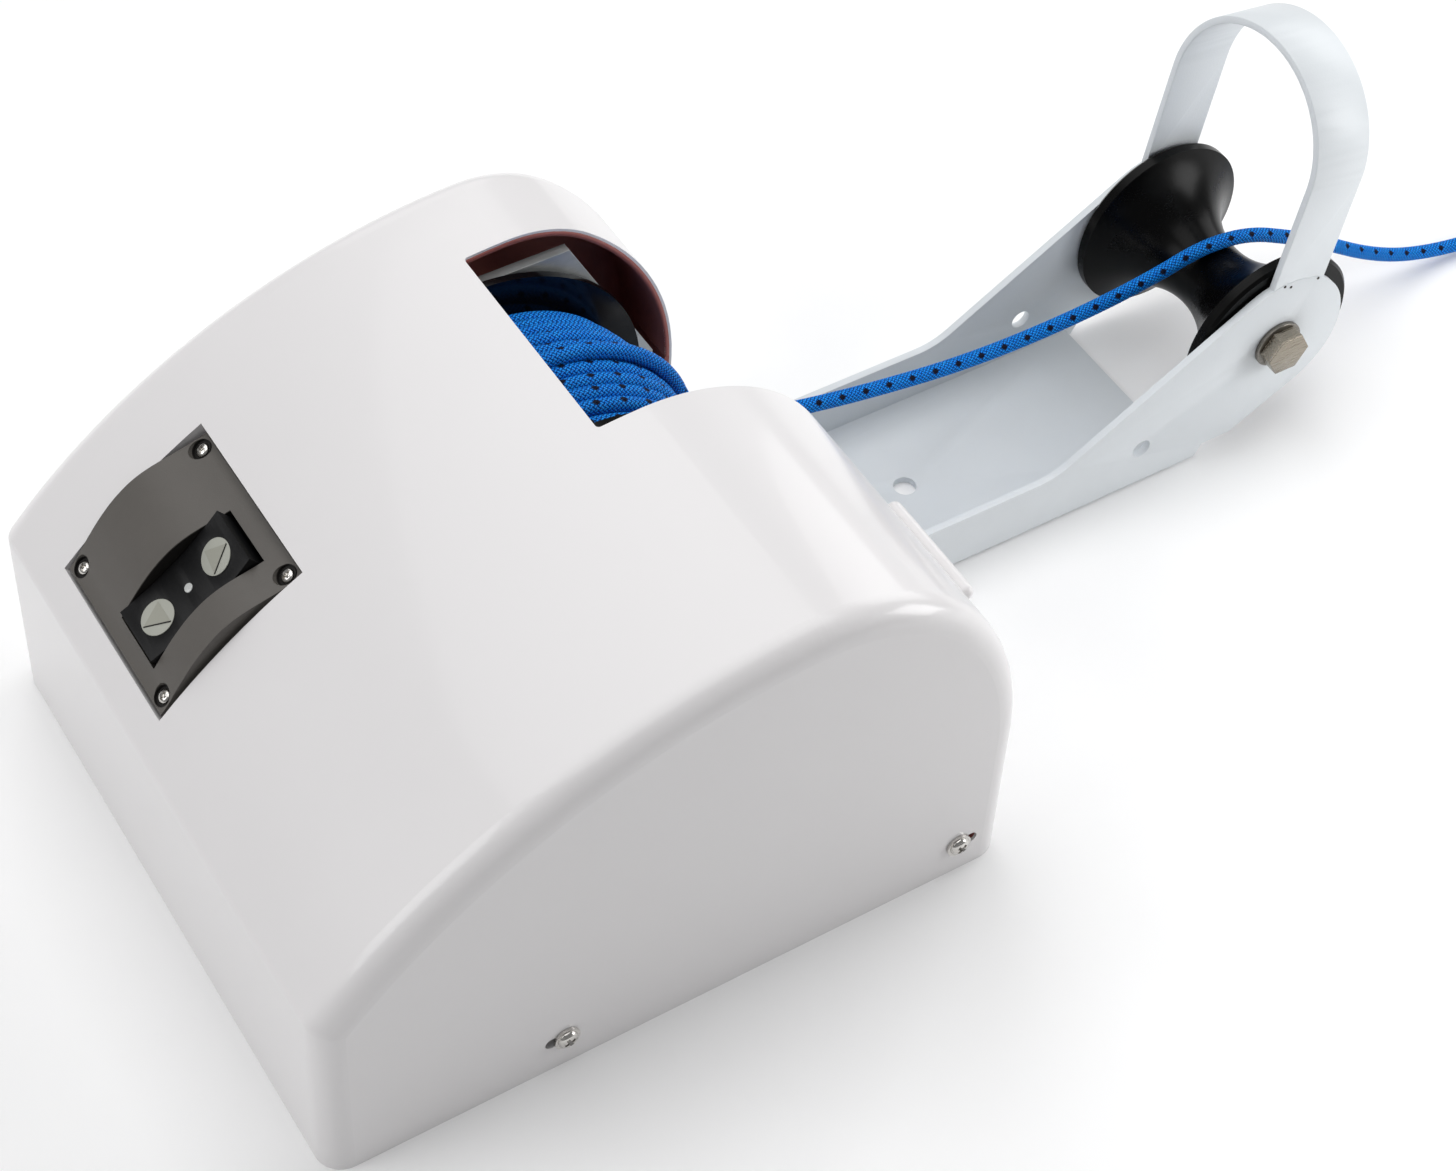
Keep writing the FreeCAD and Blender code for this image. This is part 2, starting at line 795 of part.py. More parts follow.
def make_control_panel():
    """The moulded control panel with its wave, screw seats and switch cut-out."""
    thick = value(size.panel_thickness)
    low = -value(size.panel_sink)
    width = value(size.panel_width)
    hump = value(size.hump_height)
    foot = value(size.hump_foot)
    panel = wave_block(low, low + hump, foot, low - thick, width)
    hollow = wave_block(low - thick, low + hump - thick, foot - thick, low - 2 * thick,
                        width - 2 * thick)
    panel = panel.cut(hollow)
    clear = 2 * value(size.seat_gap)
    way = block_shape((size.switch_length + clear, size.switch_width + clear, 4 * hump), (0, SWITCH_Y, 0))
    tools = [way]
    for x, y in panel_screw_places():
        head = value(size.panel_screw_head) + value(size.seat_gap)
        shank = value(size.panel_screw_radius) + value(size.seat_gap)
        tools.append(Part.makeCone(shank, head, head - shank, Vector(x, y, low - head + shank)))
        tools.append(Part.makeCylinder(shank, 2 * thick, Vector(x, y, low - 1.5 * thick)))
    panel = panel.cut(Part.makeCompound(tools))
    return finish(shaped("panel_wave", on_panel(panel)), "control_panel")


def make_panel_screws():
    """Four countersunk screws that hold the control panel in its tray."""
    screws = []
    low = -value(size.panel_sink)
    head = value(size.panel_screw_head)
    shank = value(size.panel_screw_radius)
    for x, y in panel_screw_places():
        sink = Part.makeCone(shank, head, head - shank, Vector(x, y, low - head + shank))
        stem_length = value(size.panel_thickness) + value(size.cover_wall)
        stem = Part.makeCylinder(shank, stem_length, Vector(x, y, low - stem_length))
        screws.append(on_panel(sink.fuse(stem)))
    return finish(shaped("panel_screw_set", Part.makeCompound(screws)), "panel_screws")


def switch_well(name, gap):
    """The block inside the switch housing's walls, less a gap."""
    length = size.switch_length - 2 * size.switch_wall - 2 * gap
    width = size.switch_width - 2 * size.switch_wall - 2 * gap
    height = size.switch_depth + size.switch_rise
    return box(name, (length, width, height),
               (-length / 2, SWITCH_Y - width / 2, size.switch_wall - size.switch_depth - size.panel_sink))


def make_switch_housing():
    """The switch's housing: a frame that stands proud of the panel, with a blind well."""
    base = -size.panel_sink - size.switch_depth
    body = box("housing_block", (size.switch_length, size.switch_width, size.switch_depth + size.switch_rise),
               (-size.switch_length / 2, SWITCH_Y - size.switch_width / 2, base))
    pin = cylinder("housing_pin_way", size.rocker_pin + size.running_gap, size.switch_width * 2,
                   (0, SWITCH_Y - size.switch_width, -size.rocker_pivot_drop), Y_AXIS)
    housing = cut("housing_cut", body, switch_well("housing_well", 0), pin)
    blades = [box(f"switch_blade_{i}", (size.switch_wall, size.disc_radius, size.rocker_pivot_drop),
                  (x, SWITCH_Y - size.disc_radius / 2, base - size.rocker_pivot_drop + size.switch_wall / 2))
              for i, x in enumerate((-size.disc_offset, -size.switch_wall / 2, size.disc_offset))]
    whole = finish(fuse("housing_whole", housing, *blades), "switch_housing")
    on_panel(whole)


def rocker_valley():
    """The hollow top of the rocker: radius and centre height in the panel's frame."""
    half = value(size.switch_length) / 2 - value(size.switch_wall) - value(size.rocker_end_gap)
    depth = value(size.rocker_valley)
    radius = (half ** 2 + depth ** 2) / (2 * depth)
    top = value(size.rocker_rise) - value(size.panel_sink)
    return radius, top - depth + radius


def valley_disc(offset, radius, thickness, rise):
    """A disc that sits square to the rocker's hollow top, at an offset along it."""
    valley, centre = rocker_valley()
    angle = math.asin(value(offset) / valley)
    outwards = Vector(math.sin(angle), 0, -math.cos(angle))
    seat = Vector(0, SWITCH_Y, centre) + outwards * (valley + thickness - rise)
    return Part.makeCylinder(radius, thickness, seat, -outwards)


def make_rocker():
    """The two-way rocker with its hollow top, pivot pins, two arrow discs and a lamp."""
    length = size.switch_length - 2 * size.switch_wall - 2 * size.rocker_end_gap
    width = size.switch_width - 2 * size.switch_wall - 2 * size.rocker_gap
    top = size.rocker_rise - size.panel_sink
    block = box("rocker_block", (length, width, size.rocker_height),
                (-length / 2, SWITCH_Y - width / 2, top - size.rocker_height))
    pin_length = size.switch_width - size.switch_wall
    pin = cylinder("rocker_pins", size.rocker_pin, pin_length,
                   (0, SWITCH_Y - pin_length / 2, -size.rocker_pivot_drop), Y_AXIS)
    radius, centre = rocker_valley()
    start = Vector(0, SWITCH_Y - value(width), centre)
    hollow = Part.makeCylinder(radius, 2 * value(width), start, Y_AXIS)
    thick = value(size.disc_thickness)
    disc = value(size.disc_radius)
    lamp = value(size.lamp_radius)
    offset = value(size.disc_offset)
    gap = value(size.seat_gap)
    seats = [valley_disc(-offset, disc + gap, 2 * thick, thick), valley_disc(0, lamp + gap, 2 * thick, thick),
             valley_disc(offset, disc + gap, 2 * thick, thick)]
    tools = shaped("rocker_hollows", Part.makeCompound([hollow] + seats))
    rocker = cut("rocker_cut", fuse("rocker_solid", block, pin), tools)
    on_panel(finish(rocker, "rocker_switch"))
    sunk = thick / 4
    discs = [on_panel(valley_disc(side * offset, disc, thick - gap, sunk)) for side in (-1, 1)]
    finish(shaped("disc_pair", Part.makeCompound(discs)), "rocker_discs")
    finish(shaped("lamp", on_panel(valley_disc(0, lamp, thick - gap, sunk))), "rocker_lamp")


def make_base_plate():
    """The folded tray: a deck plate with two side lips and a notch for the bow bracket."""
    body = new_body("base_plate")
    plan = new_sketch(body, "base_plan")
    notch_x = BACK_X - size.davit_start - size.base_gap
    notch_low = DAVIT_NEAR_Y - size.base_gap
    notch_high = DAVIT_FAR_Y + size.base_gap
    draw_polygon(plan, [
        (BASE_FRONT_X, -LIP_Y), (BASE_BACK_X, -LIP_Y), (BASE_BACK_X, notch_low), (notch_x, notch_low),
        (notch_x, notch_high), (BASE_STEP_X, notch_high), (BASE_STEP_X, LIP_Y), (BASE_FRONT_X, LIP_Y),
    ])
    pad(body, plan, size.base_thickness)
    lips = new_sketch(body, "lip_plan")
    for side, back_x in ((-1, BASE_BACK_X), (1, BASE_STEP_X)):
        rows = sorted((side * LIP_Y, side * (LIP_Y - size.base_thickness)), key=value)
        draw_rectangle(lips, (BASE_FRONT_X, rows[0]), (back_x, rows[1]))
    pad(body, lips, size.lip_height)
    corners = new_sketch(body, "base_corners")
    cut_back = size.corner_fillet - size.cover_wall
    for side, back_x in ((-1, BASE_BACK_X), (1, BASE_STEP_X)):
        for end, inwards in ((BASE_FRONT_X, cut_back), (back_x, -cut_back)):
            draw_polygon(corners, [(end, side * LIP_Y), (end + inwards, side * LIP_Y),
                                   (end, side * (LIP_Y - cut_back))])
    pocket(body, corners)
    holes = new_sketch(body, "base_holes")
    for x in (size.deck_inset_x - BASE_STEP_X, BASE_STEP_X - size.deck_inset_x):
        for y in (size.deck_inset_y - LIP_Y, LIP_Y - size.deck_inset_y):
            draw_circle(holes, (x, y), size.deck_hole)
    for x, y in tongue_bolt_places():
        draw_circle(holes, (x, y), size.joint_bolt_radius + size.seat_gap)
    for x, y in bracket_bolt_places():
        draw_circle(holes, (x, y), size.bracket_bolt_radius + size.seat_gap)
    draw_circle(holes, grommet_place(), size.grommet_radius - size.grommet_lip + size.seat_gap)
    drilled = pocket(body, holes)
    for side in (-1, 1):
        holes = new_sketch(body, f"lip_holes_{side + 1}", "XZ_Plane")
        for x, flank, _ in cover_screw_places():
            if flank == side:
                draw_circle(holes, (x, size.cover_screw_z), size.cover_screw_radius + size.seat_gap)
        bored = pocket(body, holes)
        bored.Midplane = False
        bored.Reversed = side < 0
    fold = dress(body, "Fillet", bored, size.bend_radius, is_lip_fold)
    body.Tip = fold


def is_lip_fold(edge):
    """Whether an edge is the outer line of a lip's fold."""
    bounds = edge.BoundBox
    return (bounds.ZMax < TOUCH and bounds.XLength > value(BASE_BACK_X)
            and abs(edge.CenterOfMass.y) > value(LIP_Y) - TOUCH)


def tongue_bolt_places():
    """The four bolts that hold the bow bracket's tongue to the base plate."""
    middle = BACK_X - size.davit_start - size.tongue_length / 2
    return [(middle + side * size.tongue_bolt_spacing_x / 2, LINE_Y + flank * size.tongue_bolt_spacing_y / 2)
            for side in (-1, 1) for flank in (-1, 1)]


def bracket_bolt_places():
    """The bolts through the feet of the two drum brackets."""
    middle = DRUM_X + (size.foot_back - size.foot_front) / 2
    far_y = FAR_PLATE_Y + size.bracket_thickness + size.foot_width / 2
    near_y = NEAR_PLATE_Y - size.foot_width / 2
    return [(middle + side * size.foot_bolt_spacing / 2, y) for side in (-1, 1) for y in (near_y, far_y)]


def grommet_place():
    """The cable's way down through the base plate."""
    return (BASE_FRONT_X + size.grommet_run, LIP_Y - size.grommet_inset)


def make_bracket(label, plate_y, foot_side, outline, bores):
    """A folded side plate of the drum frame: a profile, a foot to one side and its bores."""
    body = new_body(label)
    side = new_sketch(body, label + "_side", "XZ_Plane")
    draw_polygon(side, outline)
    plate = pad(body, side, size.bracket_thickness, backwards=True)
    plan = new_sketch(body, label + "_foot", offset=FLOOR_Z)
    reach = size.bracket_thickness + size.foot_width if foot_side > 0 else -size.foot_width
    rows = sorted((Size(0, "0"), reach), key=value)
    draw_rectangle(plan, (DRUM_X - size.foot_front, rows[0]), (DRUM_X + size.foot_back, rows[1]))
    pad(body, plan, size.base_thickness)
    holes = new_sketch(body, label + "_bores", "XZ_Plane")
    for place_xz, radius in bores:
        draw_circle(holes, place_xz, radius + size.seat_gap)
    pocket(body, holes)
    feet = new_sketch(body, label + "_foot_holes")
    for x, y in bracket_bolt_places():
        if (value(y) > value(LINE_Y)) == (foot_side > 0):
            draw_circle(feet, (x, y - plate_y), size.bracket_bolt_radius + size.seat_gap)
    drilled = pocket(body, feet)
    body.Tip = drilled
    place(body, (0, plate_y, 0))
    return body


def make_far_bracket():
    """The drum's far side plate."""
    make_bracket("far_bracket", FAR_PLATE_Y, 1, [
        (DRUM_X - size.bracket_front, FLOOR_Z), (DRUM_X + size.bracket_back, FLOOR_Z),
        (DRUM_X + size.bracket_back, size.bracket_shoulder),
        (DRUM_X + size.bracket_top_back, size.bracket_top),
        (DRUM_X - size.bracket_top_front, size.bracket_top),
        (DRUM_X - size.bracket_front, size.bracket_shoulder),
    ], [((DRUM_X, DRUM_Z), size.bush_radius)])


def make_near_bracket():
    """The drum's near side plate, which also carries the inner end of the gear train."""
    bores = [((DRUM_X, DRUM_Z), size.bush_radius), (IDLER, size.idler_bush_radius)]
    bores += [(spot, size.plate_screw_radius) for spot in spacer_places()]
    make_bracket("near_bracket", NEAR_PLATE_Y, -1, [
        (DRUM_X - size.gear_side_front, FLOOR_Z), (DRUM_X + size.bracket_back, FLOOR_Z),
        (DRUM_X + size.bracket_back, size.bracket_shoulder),
        (DRUM_X + size.bracket_top_back, size.bracket_top),
        (DRUM_X - size.bracket_top_front, size.bracket_top),
        (DRUM_X - size.gear_side_shoulder_run, size.gear_side_shoulder_height),
        (DRUM_X - size.gear_side_front, size.gear_side_height),
    ], bores)


def make_bolts(label, places, foot_z, grip, radius, flat, head):
    """A set of upright hexagon bolts whose heads bear at the top of the grip."""
    bolts = []
    for i, (x, y) in enumerate(places):
        shank = cylinder(f"{label}_shank_{i}", radius, grip, (x, y, foot_z))
        cap = hexagon(f"{label}_head_{i}", flat, head, (x, y, foot_z + grip))
        bolts.append(fuse(f"{label}_{i}", shank, cap))
    return finish(group(label + "_set", bolts), label)


def gear_centres():
    """Centres of the idler and of the motor pinion, from the pitch radii and the drops."""
    first = size.drum_gear_module * (size.drum_gear_teeth + size.idler_pinion_teeth) / 2
    second = size.idler_gear_module * (size.idler_gear_teeth + size.motor_pinion_teeth) / 2
    idler_run = Size(math.sqrt(value(first) ** 2 - value(size.idler_drop) ** 2),
                     f"sqrt({first.text}^2 - {size.idler_drop.text}^2)")
    motor_run = Size(math.sqrt(value(second) ** 2 - value(size.motor_drop) ** 2),
                     f"sqrt({second.text}^2 - {size.motor_drop.text}^2)")
    idler = (DRUM_X - idler_run, DRUM_Z - size.idler_drop)
    return idler, (idler[0] - motor_run, idler[1] - size.motor_drop)


IDLER, MOTOR = gear_centres()
DRUM_GEAR_Y = NEAR_PLATE_Y - size.gear_side_gap - size.drum_gear_face
IDLER_GEAR_Y = DRUM_GEAR_Y - size.gear_side_gap - size.idler_gear_face


def spacer_places():
    """Four places, clear of the gears, where the gear plate is held off the near bracket."""
    left = DRUM_X - size.gear_side_front + size.spacer_inset
    return [
        (left, FLOOR_Z + size.spacer_inset),
        (left, size.gear_side_height - size.spacer_inset),
        (DRUM_X - size.gear_side_shoulder_run, size.gear_side_shoulder_height - size.spacer_inset),
        (DRUM_X - size.spacer_back_run, FLOOR_Z + size.spacer_inset),
    ]


def make_gear_plate():
    """The outer plate of the gear train, which carries the gearhead and the idler's outer end."""
    body = new_body("gear_plate")
    edge = size.spacer_radius + size.bend_radius
    low_left, high_left, top, low_right = spacer_places()
    side = new_sketch(body, "gear_plate_side", "XZ_Plane")
    draw_polygon(side, [
        (low_left[0] - edge, low_left[1] - edge), (low_right[0] + edge, low_right[1] - edge),
        (low_right[0] + edge, low_right[1] + edge), (top[0] + edge * 5, top[1] + edge),
        (top[0] - edge, top[1] + edge), (high_left[0] - edge, high_left[1] + edge),
    ])
    pad(body, side, size.gear_plate_thickness, backwards=True)
    holes = new_sketch(body, "gear_plate_bores", "XZ_Plane")
    draw_circle(holes, IDLER, size.idler_bush_radius + size.seat_gap)
    draw_circle(holes, MOTOR, size.motor_boss_radius + size.seat_gap)
    for spot in spacer_places():
        draw_circle(holes, spot, size.plate_screw_radius + size.seat_gap)
    body.Tip = pocket(body, holes)
    place(body, (0, GEAR_PLATE_Y, 0))


def make_gear_spacers():
    """Four tubes between the near bracket and the gear plate."""
    tubes = []
    length = GEAR_SPAN - 2 * size.seat_gap
    for i, (x, z) in enumerate(spacer_places()):
        foot = (x, GEAR_PLATE_Y + size.gear_plate_thickness + size.seat_gap, z)
        outer = cylinder(f"spacer_tube_{i}", size.spacer_radius, length, foot, Y_AXIS)
        inner = cylinder(f"spacer_bore_{i}", size.plate_screw_radius + size.seat_gap, length, foot, Y_AXIS)
        tubes.append(cut(f"spacer_{i}", outer, inner))
    finish(group("spacer_set", tubes), "gear_spacers")


def make_gear_plate_screws():
    """Four long screws through the gear plate, the spacers and the near bracket."""
    screws = []
    grip = size.gear_plate_thickness + GEAR_SPAN + size.bracket_thickness
    for i, (x, z) in enumerate(spacer_places()):
        head_y = GEAR_PLATE_Y - size.plate_screw_head - size.seat_gap
        shank = cylinder(f"plate_screw_shank_{i}", size.plate_screw_radius, grip,
                         (x, GEAR_PLATE_Y - size.seat_gap, z), Y_AXIS)
        head = hexagon(f"plate_screw_head_{i}", size.plate_screw_flat, size.plate_screw_head,
                       (x, head_y, z), Y_AXIS)
        screws.append(fuse(f"plate_screw_{i}", shank, head))
    finish(group("plate_screw_set", screws), "gear_plate_screws")


def involute(angle):
    """The involute of an angle in radians."""
    return math.tan(angle) - angle


def gear_blank(module, teeth, face, turn):
    """A spur gear in the XZ plane with involute flanks, a tooth centred on the turn angle."""
    module, teeth, face = value(module), int(value(teeth)), value(face)
    pitch = module * teeth / 2
    slant = math.radians(value(size.pressure_angle))
    base = pitch * math.cos(slant)
    root, tip = pitch - 1.2 * module, pitch + 0.95 * module
    half = (math.pi * module - value(size.gear_backlash)) / (4 * pitch) + involute(slant)
    foot = max(base, root)
    flank = []
    for step in range(4):
        radius = foot + (tip - foot) * step / 3
        flank.append((radius, half - involute(math.acos(base / radius))))
    if root < base:
        flank.insert(0, (root, flank[0][1]))
    corners = []
    for tooth in range(teeth):
        centre = turn + 2 * math.pi * tooth / teeth
        for side, points in ((-1, flank), (1, flank[::-1])):
            corners += [(radius, centre + side * angle) for radius, angle in points]
    points = [Vector(radius * math.cos(angle), 0, radius * math.sin(angle)) for radius, angle in corners]
    return Part.Face(Part.makePolygon(points + points[:1])).extrude(Y_AXIS * face)


def direction(start, end):
    """The angle in the XZ plane from one centre to another, in radians."""
    return math.atan2(value(end[1]) - value(start[1]), value(end[0]) - value(start[0]))


def placed_gear(name, label, centre, y, parts, bore):
    """A gear, or several on one hub, bored for its shaft and set on its centre."""
    whole = parts[0]
    for part in parts[1:]:
        whole = whole.fuse(part)
    width = whole.BoundBox.YMax - whole.BoundBox.YMin
    hole = Part.makeCylinder(value(bore), 2 * width, Vector(0, whole.BoundBox.YMin - width / 2, 0), Y_AXIS)
    item = finish(shaped(name, whole.cut(hole)), label)
    return place(item, (centre[0], y, centre[1]))


def make_gears():
    """The two-stage spur train, phased so that each tooth meets a gap."""
    drum = (DRUM_X, DRUM_Z)
    first = direction(IDLER, drum)
    second = direction(IDLER, MOTOR)
    seat = size.seat_gap
    wheel = gear_blank(size.drum_gear_module, size.drum_gear_teeth, size.drum_gear_face,
                       direction(drum, IDLER))
    placed_gear("drum_wheel", "drum_gear", drum, DRUM_GEAR_Y, [wheel], size.shaft_radius + seat)
    step = size.drum_gear_face + size.gear_side_gap * 1.5
    pinion = gear_blank(size.drum_gear_module, size.idler_pinion_teeth,
                        step, first + math.pi / value(size.idler_pinion_teeth))
    pinion.translate(Y_AXIS * value(size.idler_gear_face))
    gear = gear_blank(size.idler_gear_module, size.idler_gear_teeth, size.idler_gear_face, second)
    placed_gear("idler_pair", "idler_gear", IDLER, IDLER_GEAR_Y, [gear, pinion],
                size.idler_shaft_radius + seat)
    small = gear_blank(size.idler_gear_module, size.motor_pinion_teeth, size.idler_gear_face,
                       direction(MOTOR, IDLER) + math.pi / value(size.motor_pinion_teeth))
    placed_gear("motor_wheel", "motor_pinion", MOTOR, IDLER_GEAR_Y, [small],
                size.motor_shaft_radius + seat)


def make_drum():
    """The rope drum: spool, shaft, wound rope, clips and the bushes that it runs in."""
    width = size.drum_width
    turned_body("spool", [
        (size.shaft_radius + size.seat_gap, 0), (size.flange_radius, 0),
        (size.flange_radius, size.flange_thickness), (size.drum_core, size.flange_thickness),
        (size.drum_core, width - size.flange_thickness),
        (size.flange_radius, width - size.flange_thickness), (size.flange_radius, width),
        (size.shaft_radius + size.seat_gap, width),
    ], (DRUM_X, DRUM_NEAR_Y, DRUM_Z))
    rows = size.flange_thickness + size.seat_gap
    core = size.drum_core + size.seat_gap
    quarter = width / 4
    turned_body("rope_winding", [
        (core, rows), (size.pack_radius, rows), (size.pack_radius + size.pack_crown * 0.75, quarter),
        (size.pack_radius + size.pack_crown, width / 2),
        (size.pack_radius + size.pack_crown * 0.75, width - quarter), (size.pack_radius, width - rows),
        (core, width - rows),
    ], (DRUM_X, DRUM_NEAR_Y, DRUM_Z))
    start_y = DRUM_GEAR_Y - size.clip_thickness - size.shaft_overhang
    end_y = FAR_PLATE_Y + size.bracket_thickness + size.clip_thickness + size.shaft_overhang
    finish(cylinder("drum_axle", size.shaft_radius, end_y - start_y, (DRUM_X, start_y, DRUM_Z), Y_AXIS),
           "drum_shaft")
    clips = []
    for i, y in enumerate((DRUM_GEAR_Y - size.clip_thickness - size.seat_gap,
                           FAR_PLATE_Y + size.bracket_thickness + size.bush_flange_thickness)):
        disc = cylinder(f"clip_disc_{i}", size.clip_radius, size.clip_thickness, (DRUM_X, y, DRUM_Z), Y_AXIS)
        bore = cylinder(f"clip_bore_{i}", size.shaft_radius + size.seat_gap, size.clip_thickness,
                        (DRUM_X, y, DRUM_Z), Y_AXIS)
        clips.append(cut(f"clip_{i}", disc, bore))
    finish(group("clip_pair", clips), "shaft_clips")


def flanged_bush(name, bore, outer, flange, plate_y, thickness, centre, flange_side):
    """A plain bearing through a plate with its flange on one side of the plate."""
    rim = size.bush_flange_thickness
    foot_y = plate_y - rim - size.seat_gap if flange_side < 0 else plate_y
    sleeve = cylinder(name + "_sleeve", outer, thickness + rim + size.seat_gap,
                      (centre[0], foot_y, centre[1]), Y_AXIS)
    rim_y = foot_y if flange_side < 0 else plate_y + thickness + size.seat_gap
    collar = cylinder(name + "_collar", flange, rim, (centre[0], rim_y, centre[1]), Y_AXIS)
    hole = cylinder(name + "_bore", bore + size.running_gap, 4 * thickness,
                    (centre[0], plate_y - 2 * rim, centre[1]), Y_AXIS)
    return cut(name, fuse(name + "_solid", sleeve, collar), hole)


def make_bushes():
    """The plain bearings of the drum shaft and of the idler shaft."""
    drum = (DRUM_X, DRUM_Z)
    thick = size.bracket_thickness
    near = flanged_bush("drum_bush_near", size.shaft_radius, size.bush_radius, size.bush_flange,
                        NEAR_PLATE_Y, thick, drum, 1)
    far = flanged_bush("drum_bush_far", size.shaft_radius, size.bush_radius, size.bush_flange,
                       FAR_PLATE_Y, thick, drum, -1)
    finish(group("drum_bush_pair", [near, far]), "drum_bushes")
    flange = size.idler_bush_radius + size.bush_flange_thickness
    inner = flanged_bush("idler_bush_inner", size.idler_shaft_radius, size.idler_bush_radius, flange,
                         NEAR_PLATE_Y, thick, IDLER, 1)
    outer = flanged_bush("idler_bush_outer", size.idler_shaft_radius, size.idler_bush_radius, flange,
                         GEAR_PLATE_Y, size.gear_plate_thickness, IDLER, -1)
    finish(group("idler_bush_pair", [inner, outer]), "idler_bushes")


def make_idler_shaft():
    """The idler's shaft, from the near bracket to the gear plate."""
    start_y = GEAR_PLATE_Y - size.clip_thickness
    length = NEAR_PLATE_Y + size.bracket_thickness - start_y
    finish(cylinder("idler_axle", size.idler_shaft_radius, length, (IDLER[0], start_y, IDLER[1]), Y_AXIS),
           "idler_shaft")


def make_motor():
    """The motor with its gearhead and end cap, and the output shaft with the motor pinion."""
    face_y = GEAR_PLATE_Y - size.seat_gap
    case_y = face_y - size.gearhead_length
    cap_y = size.cover_wall + size.motor_end_gap - size.cover_width / 2
    body_y = cap_y + size.motor_cap_length
    body_length = case_y - body_y
    edge = size.bend_radius
    boss = size.motor_shaft_radius + size.running_gap
    turned_body("gearhead_case", [
        (boss, 0), (size.gearhead_radius, 0), (size.gearhead_radius, size.gearhead_length),
        (size.motor_boss_radius, size.gearhead_length),
        (size.motor_boss_radius, size.gearhead_length + size.gear_plate_thickness),
        (boss, size.gearhead_length + size.gear_plate_thickness),
    ], (MOTOR[0], case_y, MOTOR[1]))
    turned_body("motor_body", [
        (0, size.seat_gap), (size.motor_radius - edge, size.seat_gap), (size.motor_radius, edge),
        (size.motor_radius, body_length - edge),
        (size.motor_radius - edge, body_length - size.seat_gap),
        (0, body_length - size.seat_gap),
    ], (MOTOR[0], body_y, MOTOR[1]))
    cap_radius = size.gearhead_radius
    turned_body("motor_end_cap", [
        (0, 0), (cap_radius - edge, 0), (cap_radius, edge), (cap_radius, size.motor_cap_length),
        (0, size.motor_cap_length),
    ], (MOTOR[0], cap_y, MOTOR[1]))
    start_y = case_y + size.bend_radius
    end_y = IDLER_GEAR_Y + size.idler_gear_face + size.gear_side_gap
    finish(cylinder("motor_axle", size.motor_shaft_radius, end_y - start_y,
                    (MOTOR[0], start_y, MOTOR[1]), Y_AXIS), "motor_shaft")


def make_grommet():
    """The cable's grommet in the base plate."""
    x, y = grommet_place()
    lip = size.grommet_lip
    waist = size.grommet_radius - lip
    turned_body("cable_grommet", [
        (size.grommet_bore, size.seat_gap), (waist, size.seat_gap),
        (waist, size.base_thickness + size.seat_gap),
        (size.grommet_radius, size.base_thickness + size.seat_gap),
        (size.grommet_radius - lip / 2, size.grommet_height), (size.grommet_bore, size.grommet_height),
    ], (x, y, 0), Z_AXIS)


def make_cover_fixings():
    """Pan-head screws, washers and nuts that hold the cover to the lips of the base plate."""
    washers, screws, nuts = [], [], []
    seat = size.seat_gap
    height = size.cover_screw_z
    face = size.cover_width / 2 - size.cover_draft * (height - size.washer_radius) + seat
    nut_depth = size.small_bolt_head
    length = face + size.washer_thickness + seat * 2 - LIP_Y + size.base_thickness + nut_depth
    for i, (x, side, _) in enumerate(cover_screw_places()):
        axis = Y_AXIS * side
        seat_y = side * face
        outer_y = side * (face + size.washer_thickness + seat)
        stop_y = side * (LIP_Y - size.base_thickness - nut_depth - seat)
        disc = cylinder(f"washer_disc_{i}", size.washer_radius, size.washer_thickness,
                        (x, seat_y, height), axis)
        bore = cylinder(f"washer_bore_{i}", size.cover_screw_radius + seat, size.washer_thickness,
                        (x, seat_y, height), axis)
        washers.append(cut(f"washer_{i}", disc, bore))
        shank = cylinder(f"screw_shank_{i}", size.cover_screw_radius, length, (x, stop_y, height), axis)
        head = cone(f"screw_head_{i}", size.cover_screw_head, size.cover_screw_crown,
                    size.cover_screw_radius, (x, outer_y, height), axis)
        screws.append(fuse(f"screw_{i}", shank, head))
        hexed = hexagon(f"nut_hex_{i}", size.plate_screw_flat, nut_depth, (x, stop_y, height), axis)
        tapped = cylinder(f"nut_bore_{i}", size.cover_screw_radius + seat, nut_depth,
                          (x, stop_y, height), axis)
        nuts.append(cut(f"nut_{i}", hexed, tapped))
    finish(group("washer_set", washers), "cover_washers")
    finish(group("screw_set", screws), "cover_screws")
    finish(group("nut_set", nuts), "cover_nuts")


